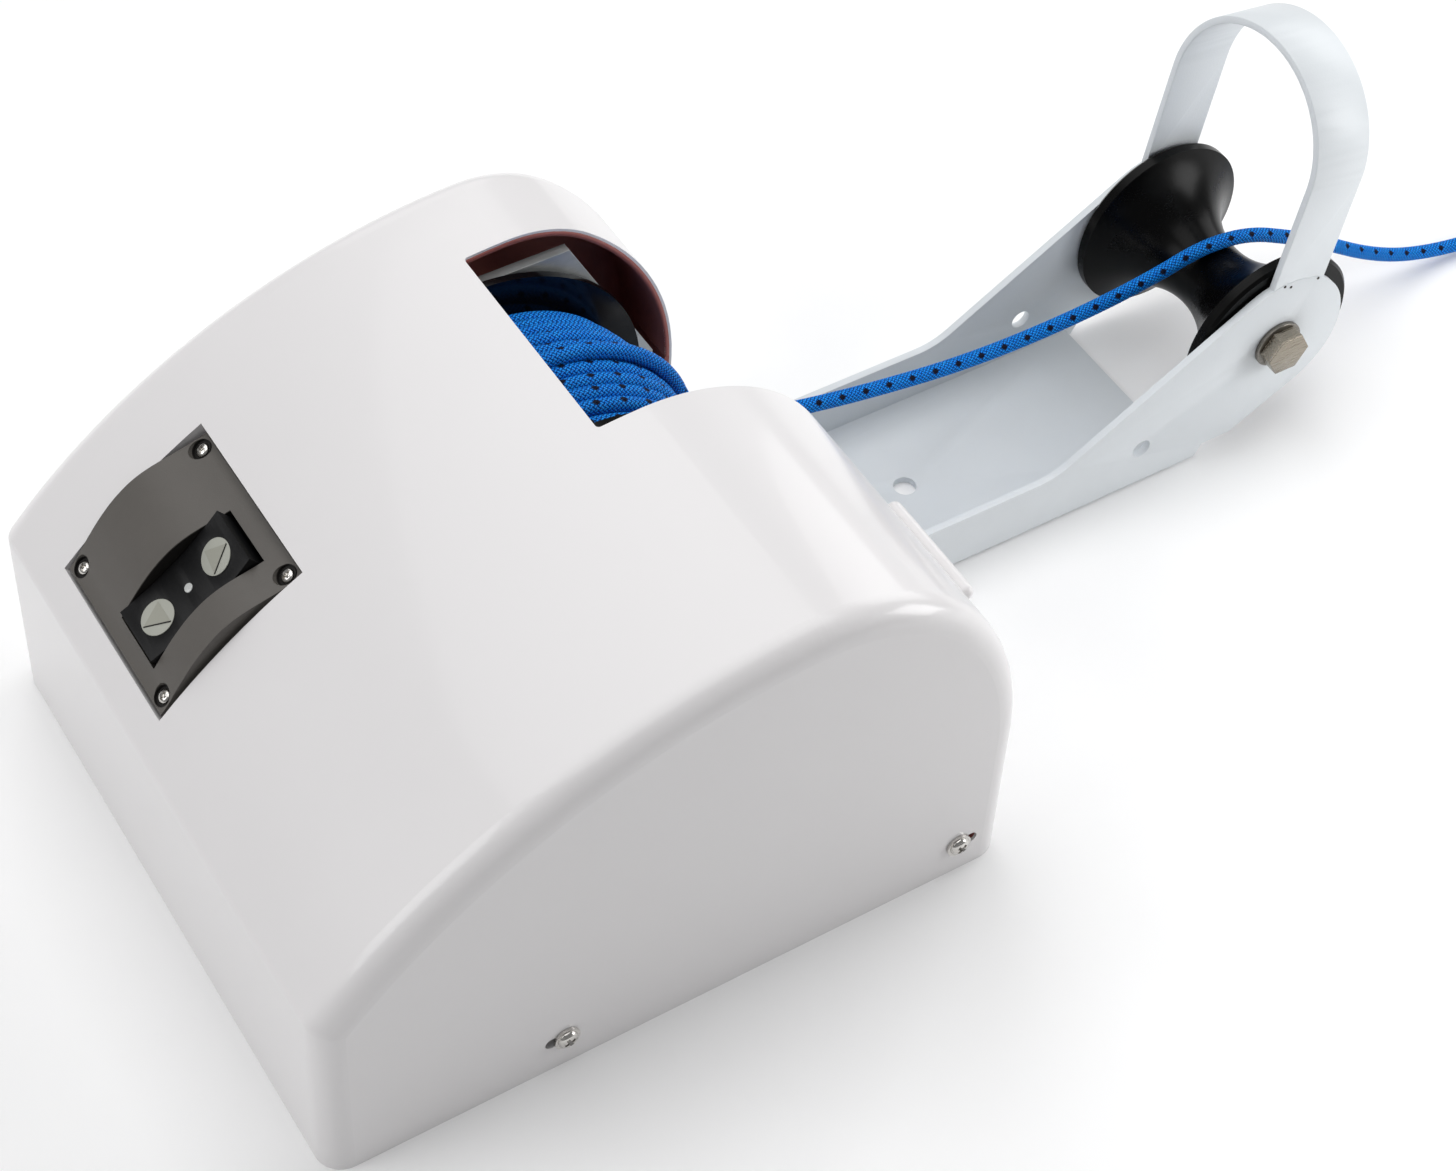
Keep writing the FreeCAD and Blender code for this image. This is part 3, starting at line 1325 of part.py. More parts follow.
def davit_outline():
    """The bow bracket's side profile: low channel, rising line and round ear."""
    start_x = value(BACK_X - size.davit_start)
    ear = value(size.ear_radius)
    centre = Vector(value(ROLLER_X), 0, value(ROLLER_Z))
    low_x = value(BACK_X + size.davit_floor_end)
    step = Vector(low_x + value(size.notch_run), 0, value(size.notch_height))
    knee = step + X_AXIS * value(size.notch_flat)
    reach = knee - centre
    lower = math.atan2(reach.z, reach.x) + math.acos(ear / reach.Length)
    rise = math.radians(value(size.davit_rise_angle))
    upper = math.pi / 2 + rise
    ear_low = centre + Vector(math.cos(lower), 0, math.sin(lower)) * ear
    ear_high = centre + Vector(math.cos(upper), 0, math.sin(upper)) * ear
    ear_end = centre + Vector(math.cos((lower + upper) / 2), 0, math.sin((lower + upper) / 2)) * ear
    top_z = value(size.davit_low_height)
    bend = value(size.davit_rise_radius)
    crossing_x = ear_high.x - (ear_high.z - top_z) / math.tan(rise)
    setback = bend * math.tan(rise / 2)
    bend_low = Vector(crossing_x - setback, 0, top_z)
    bend_high = Vector(crossing_x + setback * math.cos(rise), 0, top_z + setback * math.sin(rise))
    bend_centre = Vector(bend_low.x, 0, top_z + bend)
    bend_mid = bend_centre + Vector(math.sin(rise / 2), 0, -math.cos(rise / 2)) * bend
    foot = Vector(start_x, 0, 0)
    heel = Vector(low_x, 0, 0)
    brow = Vector(start_x, 0, top_z)
    return Part.Wire([
        Part.makeLine(foot, heel), Part.makeLine(heel, step), Part.makeLine(step, knee),
        Part.makeLine(knee, ear_low), Part.Arc(ear_low, ear_end, ear_high).toShape(),
        Part.makeLine(ear_high, bend_high), Part.Arc(bend_high, bend_mid, bend_low).toShape(),
        Part.makeLine(bend_low, brow), Part.makeLine(brow, foot),
    ])


def make_davit():
    """The bow bracket: a folded channel with ears for the roller and a joggled tongue."""
    wall = value(size.davit_wall)
    width = value(size.davit_width)
    near_y = value(DAVIT_NEAR_Y)
    start_x = value(BACK_X - size.davit_start)
    end_x = value(BACK_X + size.davit_floor_end)
    block = Part.Face(davit_outline()).extrude(Y_AXIS * width)
    block.translate(Y_AXIS * near_y)
    folds = [edge for edge in block.Edges if edge.BoundBox.ZMax < 0.1 and edge.BoundBox.XLength > width]
    block = block.makeFillet(value(size.bend_radius), folds)
    inside = Part.makeBox(2 * end_x, width - 2 * wall, 2 * width, Vector(start_x - wall, near_y + wall, wall))
    beyond = Part.makeBox(end_x, width - 2 * wall, 2 * width, Vector(end_x - wall, near_y + wall, -wall))
    channel = block.cut(inside).cut(beyond)
    tongue_width = value(size.tongue_width)
    tongue_start = start_x - value(size.tongue_length)
    tongue = Part.makeBox(value(size.tongue_length) + wall, tongue_width, wall,
                          Vector(tongue_start, value(LINE_Y) - tongue_width / 2, wall + value(size.seat_gap)))
    joggle = Part.makeBox(wall, tongue_width, 2 * wall, Vector(start_x, value(LINE_Y) - tongue_width / 2, 0))
    channel = channel.fuse([tongue, joggle]).removeSplitter()
    tools = []
    for x, y in tongue_bolt_places():
        tools.append(Part.makeCylinder(value(size.joint_bolt_radius + size.seat_gap), 3 * wall,
                                       Vector(value(x), value(y), 0)))
    foot_x = value(BACK_X + size.davit_hole_run)
    tools.append(Part.makeCylinder(value(size.davit_hole), 3 * wall, Vector(foot_x, value(LINE_Y), -wall)))
    keeper = Vector(value(BACK_X + size.keeper_run), near_y - wall, value(size.keeper_height))
    tools.append(Part.makeCylinder(value(size.keeper_hole), width + 2 * wall, keeper, Y_AXIS))
    axle = Vector(value(ROLLER_X), near_y - wall, value(ROLLER_Z))
    tools.append(Part.makeCylinder(value(size.roller_bolt_radius + size.seat_gap), width + 2 * wall,
                                   axle, Y_AXIS))
    channel = channel.cut(Part.makeCompound(tools))
    finish(shaped("davit_folded", channel), "davit_channel")


def arch_face(half, spring, foot_z):
    """A solid arch profile in the YZ plane, from its feet to a half-round top."""
    low, high = Vector(0, -half, foot_z), Vector(0, half, foot_z)
    near, far = Vector(0, -half, spring), Vector(0, half, spring)
    top = Part.Arc(far, Vector(0, 0, spring + half), near).toShape()
    return Part.Face(Part.Wire([Part.makeLine(low, high), Part.makeLine(high, far), top,
                                Part.makeLine(near, low)]))


def make_hoop():
    """The strap hoop over the roller, leaning forward, with its feet on the bracket's ears."""
    half = value(size.davit_width) / 2
    thick = value(size.hoop_thickness)
    width = value(size.hoop_width)
    spring = value(size.hoop_spring_height)
    foot = value(size.hoop_foot_height)
    outer = arch_face(half, spring, foot).extrude(X_AXIS * width)
    inner = arch_face(half - thick, spring, foot - thick).extrude(X_AXIS * width)
    hoop = outer.cut(inner)
    hoop.translate(X_AXIS * (value(size.hoop_forward) - width / 2))
    hoop.rotate(Vector(0, 0, value(size.ear_radius)), Y_AXIS, value(size.hoop_tilt_angle))
    ear = Part.makeCylinder(value(size.ear_radius + size.seat_gap), 4 * half, Vector(0, -2 * half, 0), Y_AXIS)
    finish(place(shaped("hoop_strap", hoop.cut(ear)), (ROLLER_X, LINE_Y, ROLLER_Z)), "hoop_guard")


def make_roller():
    """The hourglass bow roller with its bush, turning on its cross bolt."""
    length = size.davit_width - 2 * size.davit_wall - 2 * size.roller_gap
    flange, chamfer = size.roller_flange, size.roller_rim_chamfer
    bore = size.roller_bush_radius + size.seat_gap
    start = (ROLLER_X, DAVIT_NEAR_Y + size.davit_wall + size.roller_gap, ROLLER_Z)
    roller = turned_body("bow_roller", [
        (bore, 0), (flange - chamfer, 0), (flange, chamfer), (flange, length - chamfer),
        (flange - chamfer, length), (bore, length),
    ], start)
    deep = flange - size.roller_groove
    reach = length / 2 - size.roller_rim
    bow = (deep * deep + reach * reach) / (2 * deep)
    throat = new_sketch(roller, "roller_throat", "XZ_Plane")
    draw_circle(throat, (size.roller_groove + bow, length / 2), bow)
    groove = roller.newObject("PartDesign::Groove", "roller_hourglass")
    groove.Profile = throat
    groove.ReferenceAxis = (throat, ["V_Axis"])
    groove.Angle = 360.0
    turned_body("roller_bush", [
        (size.roller_bolt_radius + size.running_gap, 0), (size.roller_bush_radius, 0),
        (size.roller_bush_radius, length), (size.roller_bolt_radius + size.running_gap, length),
    ], start)


def make_roller_bolt():
    """The roller's cross bolt with its washers and nut."""
    washer = size.roller_washer_thickness
    near_y = DAVIT_NEAR_Y - washer - size.seat_gap
    far_y = DAVIT_FAR_Y + size.seat_gap
    nut_y = far_y + washer + size.seat_gap
    head_y = near_y - size.hex_height - size.seat_gap
    shank_y = near_y - size.seat_gap
    end_y = nut_y + size.hex_height + size.roller_washer_thickness
    shank = cylinder("roller_bolt_shank", size.roller_bolt_radius, end_y - shank_y,
                     (ROLLER_X, shank_y, ROLLER_Z), Y_AXIS)
    head = hexagon("roller_bolt_head", size.hex_flat, size.hex_height, (ROLLER_X, head_y, ROLLER_Z), Y_AXIS)
    finish(fuse("roller_bolt_solid", shank, head), "roller_bolt")
    bore = size.roller_bolt_radius + size.seat_gap
    discs = []
    for i, y in enumerate((near_y, far_y)):
        disc = cylinder(f"roller_washer_disc_{i}", size.roller_washer, washer, (ROLLER_X, y, ROLLER_Z), Y_AXIS)
        hole = cylinder(f"roller_washer_bore_{i}", bore, washer, (ROLLER_X, y, ROLLER_Z), Y_AXIS)
        discs.append(cut(f"roller_washer_{i}", disc, hole))
    finish(group("roller_washer_pair", discs), "roller_washers")
    hexed = hexagon("roller_nut_hex", size.hex_flat, size.hex_height, (ROLLER_X, nut_y, ROLLER_Z), Y_AXIS)
    tapped = cylinder("roller_nut_bore", bore, size.hex_height, (ROLLER_X, nut_y, ROLLER_Z), Y_AXIS)
    finish(cut("roller_nut_cut", hexed, tapped), "roller_nut")


def rope_corners():
    """The rope's way from the drum over the bow roller and down to the floor."""
    back, line = value(BACK_X), value(LINE_Y)
    reach = value(size.pack_radius + size.pack_crown + size.rope_radius + size.pack_gap)
    angle = math.radians(value(size.pack_angle))
    start = Vector(value(DRUM_X) + reach * math.cos(angle), line, value(DRUM_Z) + reach * math.sin(angle))
    floor = value(size.ferrule_radius + size.ferrule_lift)
    corners = [start] + [Vector(back + run, line, height) for run, height in ROPE_RUN]
    return corners + [Vector(back + run, line + aside, floor) for run, aside in ROPE_FLOOR_RUN]


def rounded_wire(corners):
    """Straight runs joined by tangent arcs, with the arcs' radii and the wire's length."""
    edges, radii = [], []
    last = corners[0]
    for before, corner, after in zip(corners, corners[1:], corners[2:]):
        back, ahead = before - corner, after - corner
        half_turn = (math.pi - back.getAngle(ahead)) / 2
        setback = 0.45 * min(back.Length, ahead.Length)
        radii.append(setback / math.tan(half_turn))
        enter = corner + back.normalize() * setback
        leave = corner + ahead.normalize() * setback
        middle = (enter + leave) / 2
        inwards = (middle - corner).normalize()
        apex = corner + inwards * (radii[-1] / math.cos(half_turn) - radii[-1])
        edges += [Part.LineSegment(last, enter).toShape(), Part.Arc(enter, apex, leave).toShape()]
        last = leave
    edges.append(Part.LineSegment(last, corners[-1]).toShape())
    wire = Part.Wire(edges)
    return wire, radii


def swept_rope(wire, radius):
    """A round tube along a wire."""
    start = wire.Edges[0]
    heading = start.tangentAt(start.FirstParameter)
    ring = Part.Wire([Part.Circle(start.valueAt(start.FirstParameter), heading, radius).toShape()])
    return wire.makePipeShell([ring], True, False)


def make_rope():
    """The anchor rope from the drum over the roller, ending in a ferrule and an eye."""
    radius = value(size.rope_radius)
    corners = rope_corners()
    wire, radii = rounded_wire(corners)
    rope = swept_rope(wire, radius)
    print("rope bend radii", [round(bend, 1) for bend in radii])
    print("rope length", round(wire.Length, 1), "volume ratio",
          round(rope.Volume / (wire.Length * math.pi * radius ** 2), 4))
    finish(shaped("rope_tube", rope), "anchor_rope")
    heading = (corners[-1] - corners[-2]).normalize()
    aside = Vector(-heading.y, heading.x, 0)
    seat = value(size.seat_gap)
    sleeve = value(size.ferrule_length)
    face = corners[-1] + heading * seat
    spread = radius + seat
    tall = value(size.ferrule_radius)
    ferrule = Part.makeCylinder(tall, sleeve, face - aside * spread, heading)
    ferrule = ferrule.fuse(Part.makeCylinder(tall, sleeve, face + aside * spread, heading))
    plane = Part.makePolygon([face - aside * spread - Z_AXIS * tall, face + aside * spread - Z_AXIS * tall,
                              face + aside * spread + Z_AXIS * tall, face - aside * spread + Z_AXIS * tall,
                              face - aside * spread - Z_AXIS * tall])
    ferrule = ferrule.fuse(Part.Face(plane).extrude(heading * sleeve)).removeSplitter()
    finish(shaped("ferrule_sleeve", ferrule), "rope_ferrule")
    exit_point = face + heading * (sleeve + value(size.eye_gap))
    eye, thimble = eye_shapes(exit_point, heading, aside, spread)
    finish(shaped("eye_loop", eye), "rope_eye")
    finish(shaped("thimble_ring", thimble), "rope_thimble")


def eye_shapes(foot, heading, aside, spread):
    """The spliced eye and the steel thimble inside it, both lying flat."""
    radius = value(size.rope_radius)
    bend = value(size.eye_radius)
    centre = foot + heading * value(size.eye_length)

    def loop(curve, legs):
        """A teardrop path: two legs from the ferrule and the round end that they touch."""
        near, far = foot - aside * legs, foot + aside * legs
        reach = (near - centre).Length
        swing = math.acos(curve / reach) + math.atan2(legs, value(size.eye_length))
        touch = [centre + (heading * -math.cos(swing) + aside * side * math.sin(swing)) * curve
                 for side in (-1, 1)]
        round_end = Part.Arc(touch[0], centre + heading * curve, touch[1]).toShape()
        return Part.Wire([Part.makeLine(near, touch[0]), round_end, Part.makeLine(touch[1], far)])

    eye = swept_rope(loop(bend, spread), radius)
    wall = value(size.thimble_wall)
    inside = bend - radius - value(size.seat_gap)
    outer = Part.makeCylinder(inside, 2 * radius, centre - Z_AXIS * radius)
    inner = Part.makeCylinder(inside - wall, 4 * radius, centre - Z_AXIS * 2 * radius)
    return eye, outer.cut(inner)


def check_and_write():
    """Recompute, test every object's state and shape, and write each sub-part."""
    document.recompute()
    for item in document.Objects:
        if "Invalid" in item.State or "Error" in item.State:
            raise RuntimeError(f"{item.Label} is in state {item.State}")
    os.makedirs("parts", exist_ok=True)
    for item in finished:
        shape = item.Shape
        if shape.isNull() or not shape.isValid() or not shape.Solids:
            raise RuntimeError(f"{item.Label} has no valid solid")
        shape.exportStep(f"parts/{item.Label}.step")
        print(item.Label, len(shape.Solids), round(shape.Volume), shape.BoundBox)


make_cover()
make_control_panel()
make_panel_screws()
make_switch_housing()
make_rocker()
make_base_plate()
make_far_bracket()
make_near_bracket()
make_gear_plate()
make_gear_spacers()
make_gear_plate_screws()
make_gears()
make_drum()
make_bushes()
make_idler_shaft()
make_motor()
make_grommet()
make_cover_fixings()
make_davit()
make_hoop()
make_roller()
make_roller_bolt()
make_rope()
make_bolts("tongue_bolts", tongue_bolt_places(), size.seat_gap, 2 * size.base_thickness + size.seat_gap,
           size.joint_bolt_radius, size.joint_bolt_flat, size.joint_bolt_head)
make_bolts("bracket_bolts", bracket_bolt_places(), size.seat_gap, 2 * size.base_thickness,
           size.bracket_bolt_radius, size.small_bolt_flat, size.small_bolt_head)
check_and_write()
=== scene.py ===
"""Looks of an anchor windlass: finishes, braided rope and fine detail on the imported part.

Metres throughout. +X runs out over the bow, +Y to the drum's far side, +Z up.
"""
import json
import logging
import math
from dataclasses import dataclass, replace
from enum import Enum

import bmesh
import bpy
from bmesh.types import BMesh, BMFace, BMVert
from bpy.types import ID, Material, Mesh, Node, NodeSocket, NodeTree, Object
from mathutils import Matrix, Vector
from mathutils.bvhtree import BVHTree


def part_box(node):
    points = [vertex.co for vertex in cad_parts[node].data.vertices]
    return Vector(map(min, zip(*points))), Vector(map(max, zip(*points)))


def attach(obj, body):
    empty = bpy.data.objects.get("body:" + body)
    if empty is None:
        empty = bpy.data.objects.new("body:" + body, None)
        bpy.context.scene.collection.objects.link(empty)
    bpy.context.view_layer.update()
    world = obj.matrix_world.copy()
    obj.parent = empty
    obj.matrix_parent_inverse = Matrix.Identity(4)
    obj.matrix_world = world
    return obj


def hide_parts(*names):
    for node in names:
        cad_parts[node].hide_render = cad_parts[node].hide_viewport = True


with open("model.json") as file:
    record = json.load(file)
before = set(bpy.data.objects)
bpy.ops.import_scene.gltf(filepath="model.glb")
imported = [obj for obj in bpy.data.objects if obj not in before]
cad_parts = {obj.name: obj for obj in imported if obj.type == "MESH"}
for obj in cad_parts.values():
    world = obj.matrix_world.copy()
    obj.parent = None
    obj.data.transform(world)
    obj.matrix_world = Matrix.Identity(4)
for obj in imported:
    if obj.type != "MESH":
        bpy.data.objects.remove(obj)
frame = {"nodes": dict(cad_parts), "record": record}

Colour = tuple[float, float, float]
Outline = tuple[tuple[float, float], ...]

LOG = logging.getLogger("windlass")
MM = 0.001
MERGE = 1e-6
IMAGE_WIDTH = 1456
STRANDS = 12
ROUND = 40
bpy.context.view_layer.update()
HOMES = {node: name for name, nodes in frame["record"]["behaviour"]["bodies"].items() for node in nodes}


class Body(str, Enum):
    """The rigid bodies that dressed pieces ride, by the names that the frame gives them."""

    FRAME = "frame"
    DRUM = "drum"
    ROCKER = "rocker"
    ROLLER = "roller"


class Effect(str, Enum):
    """The shader node groups that several finishes share."""

    MOTTLE = "Mottle"
    PEEL = "Orange peel"
    SCRATCHES = "Fine scratches"
    BRAID = "Braid"


@dataclass
class NodeGraph:
    """A node tree with short calls for placing and joining nodes."""

    tree: NodeTree

    def node(self, kind: str, inputs: dict[str, object] | None = None, **settings: object) -> Node:
        """Place a node.

        Args:
            kind: the node's type name.
            inputs: what feeds its inputs, by name.
            settings: attributes to set on it.

        Returns:
            The new node.
        """
        made = self.tree.nodes.new(kind)
        for name, setting in settings.items():
            setattr(made, name, setting)
        for name, source in (inputs or {}).items():
            self.feed(made.inputs[name], source)
        return made

    def feed(self, socket: NodeSocket, source: object) -> None:
        """Link a socket to another socket, or set its own value.

        Args:
            socket: the input to fill.
            source: an output socket, or a plain value.
        """
        if isinstance(source, NodeSocket):
            self.tree.links.new(source, socket)
        else:
            socket.default_value = source

    def math(self, operation: str, *values: object) -> NodeSocket:
        """Work out a value.

        Args:
            operation: the math node's operation.
            values: sockets or numbers, in order.

        Returns:
            The result's socket.
        """
        made = self.node("ShaderNodeMath", operation=operation)
        for socket, source in zip(made.inputs, values):
            self.feed(socket, source)
        return made.outputs[0]

    def mix(self, share: NodeSocket, first: object, second: Colour) -> NodeSocket:
        """Mix a second colour into a first.

        Args:
            share: the second colour's share.
            first: a colour, or a colour socket.
            second: the other colour.

        Returns:
            The mixed colour's socket.
        """
        start = first if isinstance(first, NodeSocket) else (*first, 1.0)
        inputs = {"Factor": share, "A": start, "B": (*second, 1.0)}
        return self.node("ShaderNodeMix", inputs, data_type="RGBA").outputs["Result"]

    def noise(self, scale: object, detail: float, place: NodeSocket | None = None) -> NodeSocket:
        """Noise over the object's own coordinates.

        Args:
            scale: the noise's scale, a number or a socket.
            detail: octaves of detail.
            place: a vector socket, or None for object coordinates.

        Returns:
            The noise value's socket.
        """
        place = place or self.node("ShaderNodeTexCoord").outputs["Object"]
        return self.node("ShaderNodeTexNoise", {"Vector": place, "Scale": scale, "Detail": detail}).outputs[0]

    def ramp(self, value: object, low: float, high: float, to_low: float, to_high: float) -> NodeSocket:
        """Map a value's range smoothly onto another.

        Args:
            value: the value to map.
            low: the value that gives to_low.
            high: the value that gives to_high.
            to_low: the result at the low end.
            to_high: the result at the high end.

        Returns:
            The mapped value's socket.
        """
        inputs = {"Value": value, "From Min": low, "From Max": high, "To Min": to_low, "To Max": to_high}
        return self.node("ShaderNodeMapRange", inputs, interpolation_type="SMOOTHSTEP").outputs[0]

    def bump(self, height: NodeSocket, strength: object, distance: float) -> NodeSocket:
        """Tilt the surface by a height.

        Args:
            height: the height's socket.
            strength: how strongly it shows, a number or a socket.
            distance: what a height of 1 stands for.

        Returns:
            The normal's socket.
        """
        inputs = {"Height": height, "Strength": strength, "Distance": distance}
        return self.node("ShaderNodeBump", inputs).outputs["Normal"]


def open_group(effect: Effect, inputs: dict[str, float], outputs: tuple[str, ...],
               kind: str = "NodeSocketFloat") -> tuple[NodeGraph, dict, dict]:
    """Start a shader node group.

    Args:
        effect: which group it is.
        inputs: input names and their default numbers.
        outputs: output names.
        kind: the outputs' socket type.

    Returns:
        The graph, its input sockets by name and its output sockets by name.
    """
    tree = bpy.data.node_groups.new(effect.value, "ShaderNodeTree")
    for name, number in inputs.items():
        socket = tree.interface.new_socket(name, in_out="INPUT", socket_type="NodeSocketFloat")
        socket.default_value = number
    for name in outputs:
        tree.interface.new_socket(name, in_out="OUTPUT", socket_type=kind)
    graph = NodeGraph(tree)
    return graph, graph.node("NodeGroupInput").outputs, graph.node("NodeGroupOutput").inputs


def build_mottle() -> None:
    """Slow, faint unevenness of a moulded, cast or painted surface."""
    graph, given, result = open_group(Effect.MOTTLE, {"Scale": 20.0, "Spread": 0.1}, ("Factor",))
    broad = graph.noise(given["Scale"], 3.0)
    fine = graph.noise(graph.math("MULTIPLY", given["Scale"], 6.0), 2.0)
    mixed = graph.math("ADD", graph.math("MULTIPLY", broad, 0.7), graph.math("MULTIPLY", fine, 0.3))
    centred = graph.math("SUBTRACT", mixed, 0.5)
    graph.feed(result["Factor"], graph.math("MULTIPLY_ADD", centred, given["Spread"], 0.5))


def build_peel() -> None:
    """The fine ripple of a sprayed, powder coated or moulded skin."""
    graph, given, result = open_group(
        Effect.PEEL, {"Scale": 900.0, "Depth": 0.1}, ("Normal",), "NodeSocketVector")
    graph.feed(result["Normal"], graph.bump(graph.noise(given["Scale"], 2.0), given["Depth"], 0.4 * MM))


def build_scratches() -> None:
    """Fine lines along the part's X axis, as turning, brushing or handling leaves them."""
    graph, given, result = open_group(Effect.SCRATCHES, {"Scale": 60.0, "Amount": 0.2}, ("Factor",))
    own = graph.node("ShaderNodeTexCoord").outputs["Object"]
    place = graph.node("ShaderNodeMapping", {"Vector": own, "Scale": (0.08, 1.0, 1.0)})
    lines = graph.noise(graph.math("MULTIPLY", given["Scale"], 25.0), 4.0, place.outputs[0])
    sharp = graph.ramp(lines, 0.52, 0.68, 0.0, 1.0)
    graph.feed(result["Factor"], graph.math("MULTIPLY", sharp, given["Amount"]))


def build_braid() -> None:
    """Strand pattern of a braided rope over its UV: U counts lay lengths, V goes once round; it also gives a mask for
    painted shade low between the strands.
    """
    graph, given, result = open_group(Effect.BRAID, {"Strands": STRANDS}, ("Height", "Fleck", "Groove"))
    split = graph.node("ShaderNodeSeparateXYZ", {"Vector": graph.node("ShaderNodeTexCoord").outputs["UV"]})
    along, around = split.outputs["X"], split.outputs["Y"]
    carriers = [graph.math("MULTIPLY", graph.math(way, around, along), given["Strands"])
                for way in ("ADD", "SUBTRACT")]
    upper = graph.math("FLOORED_MODULO", graph.math("ADD", *(graph.math("FLOOR", c) for c in carriers)), 2.0)
    humps = [graph.math("ABSOLUTE", graph.math("SINE", graph.math("MULTIPLY", c, math.pi))) for c in carriers]
    hump = graph.math("ADD", graph.math("MULTIPLY", humps[0], upper),
                      graph.math("MULTIPLY", humps[1], graph.math("SUBTRACT", 1.0, upper)))
    graph.feed(result["Height"], hump)
    # Groove shade: 1 low between the strands, 0 on the crests; it places painted shade.
    graph.feed(result["Groove"], graph.ramp(hump, 0.4, 0.97, 1.0, 0.0))
    half = graph.math("DIVIDE", given["Strands"], 2.0)
    marks, cells = [], []
    for carrier in carriers:
        off = graph.math("SUBTRACT", graph.math("FLOORED_MODULO", carrier, half), 1.0)
        marks.append(graph.math("LESS_THAN", graph.math("ABSOLUTE", off), 0.9))
        cells.append(graph.math("FLOOR", graph.math("DIVIDE", carrier, half)))
    odd = graph.math("FLOORED_MODULO", graph.math("ADD", *cells), 2.0)
    even = graph.math("SUBTRACT", 1.0, odd)
    graph.feed(result["Fleck"], graph.math("MULTIPLY", graph.math("MULTIPLY", *marks), even))


# Finishes.
@dataclass(frozen=True)
class Finish:
    """A surface: its colours and gloss, and how far the shared effects show on it."""

    name: str
    colour: Colour
    second: Colour
    roughness: float
    metallic: float = 0.0
    coat: float = 0.0
    coat_roughness: float = 0.06
    ior: float = 1.5
    specular: float = 0.5
    mottle_scale: float = 18.0
    mottle_spread: float = 1.2
    mottle_roughness: float = 0.08
    peel_scale: float = 700.0
    peel_depth: float = 0.05
    scratch_amount: float = 0.15
    scratch_roughness: float = 0.5

    def use(self, graph: NodeGraph, effect: Effect, **values: float) -> Node:
        """Place a shared effect with this finish's values.

        Args:
            graph: the material's graph.
            effect: the group to place.
            values: numbers for its inputs, by name.

        Returns:
            The group's node.
        """
        made = graph.node("ShaderNodeGroup", node_tree=bpy.data.node_groups[effect.value])
        for name, number in values.items():
            made.inputs[name].default_value = number
        return made

    def material(self) -> Material:
        """The finish as a material, made once.

        Returns:
            The material.
        """
        title = "look_" + self.name
        known = bpy.data.materials.get(title)
        if known:
            return known
        made = bpy.data.materials.new(title)
        made.use_nodes = True
        shader = made.node_tree.nodes["Principled BSDF"]
        for name, number in (("IOR", self.ior), ("Specular IOR Level", self.specular), ("Coat Weight", self.coat),
                             ("Coat Roughness", self.coat_roughness), ("Metallic", self.metallic)):
            shader.inputs[name].default_value = number
        self.dress(NodeGraph(made.node_tree), shader)
        return made

    def dress(self, graph: NodeGraph, shader: Node) -> None:
        """Feed the shader's colour, roughness and normal.

        Args:
            graph: the material's graph.
            shader: its Principled BSDF.
        """
        mottle = self.use(graph, Effect.MOTTLE, Scale=self.mottle_scale, Spread=self.mottle_spread)
        scratch = self.use(graph, Effect.SCRATCHES, Amount=self.scratch_amount)
        peel = self.use(graph, Effect.PEEL, Scale=self.peel_scale, Depth=self.peel_depth)
        rough = graph.math("MULTIPLY_ADD", scratch.outputs["Factor"], self.scratch_roughness, self.roughness)
        uneven = graph.math("MULTIPLY_ADD", mottle.outputs["Factor"], self.mottle_roughness, rough)
        graph.feed(shader.inputs["Base Color"], graph.mix(mottle.outputs["Factor"], self.colour, self.second))
        graph.feed(shader.inputs["Roughness"], uneven)
        graph.feed(shader.inputs["Normal"], peel.outputs["Normal"])


@dataclass(frozen=True)
class RopeFinish(Finish):
    """Braided yarn: the weave's height, dark flecks, and painted shade low between the strands."""

    fleck: Colour = (0.004, 0.006, 0.02)
    # painted shade: the dark blue mixed in low between the strands
    groove_shade: Colour = (0.0005, 0.03, 0.2)
    relief: float = 0.75

    def dress(self, graph: NodeGraph, shader: Node) -> None:
        """Feed the shader from the braid pattern.

        Args:
            graph: the material's graph.
            shader: its Principled BSDF.
        """
        braid = self.use(graph, Effect.BRAID, Strands=STRANDS)
        mottle = self.use(graph, Effect.MOTTLE, Scale=self.mottle_scale, Spread=self.mottle_spread)
        yarn = graph.mix(mottle.outputs["Factor"], self.colour, self.second)
        # Painted shade: darken the yarn low between the strands.
        shaded = graph.mix(braid.outputs["Groove"], yarn, self.groove_shade)
        graph.feed(shader.inputs["Base Color"], graph.mix(braid.outputs["Fleck"], shaded, self.fleck))
        shader.inputs["Roughness"].default_value = self.roughness
        graph.feed(shader.inputs["Normal"], graph.bump(braid.outputs["Height"], self.relief, 0.5 * MM))


COVER = Finish("cover_gloss", (0.77, 0.753, 0.757), (0.79, 0.775, 0.778), 0.26, coat=0.3, peel_scale=120.0,
               peel_depth=0.03, scratch_amount=0.03, mottle_scale=9.0)
PANEL = Finish("panel_satin", (0.085, 0.078, 0.07), (0.105, 0.096, 0.086), 0.42, peel_scale=2600.0,
               peel_depth=0.12, scratch_amount=0.1, mottle_scale=40.0)
SWITCH = Finish("switch_black", (0.004, 0.004, 0.0045), (0.007, 0.007, 0.0075), 0.4, specular=0.22,
                peel_scale=3000.0, peel_depth=0.1)
DISC = Finish("disc_grey", (0.36, 0.365, 0.32), (0.42, 0.425, 0.375), 0.5, peel_scale=2500.0, peel_depth=0.08)
LAMP = Finish("lamp_lens", (0.5, 0.51, 0.5), (0.56, 0.57, 0.56), 0.2, coat=0.5)
CHROME = Finish("bright_screw", (0.62, 0.6, 0.57), (0.72, 0.7, 0.67), 0.14, metallic=1.0, scratch_amount=0.4,
                peel_scale=1800.0)
STAINLESS = Finish("stainless_bolt", (0.25, 0.22, 0.175), (0.35, 0.315, 0.26), 0.2, metallic=1.0,
                   scratch_amount=0.7, peel_scale=1500.0, peel_depth=0.12)
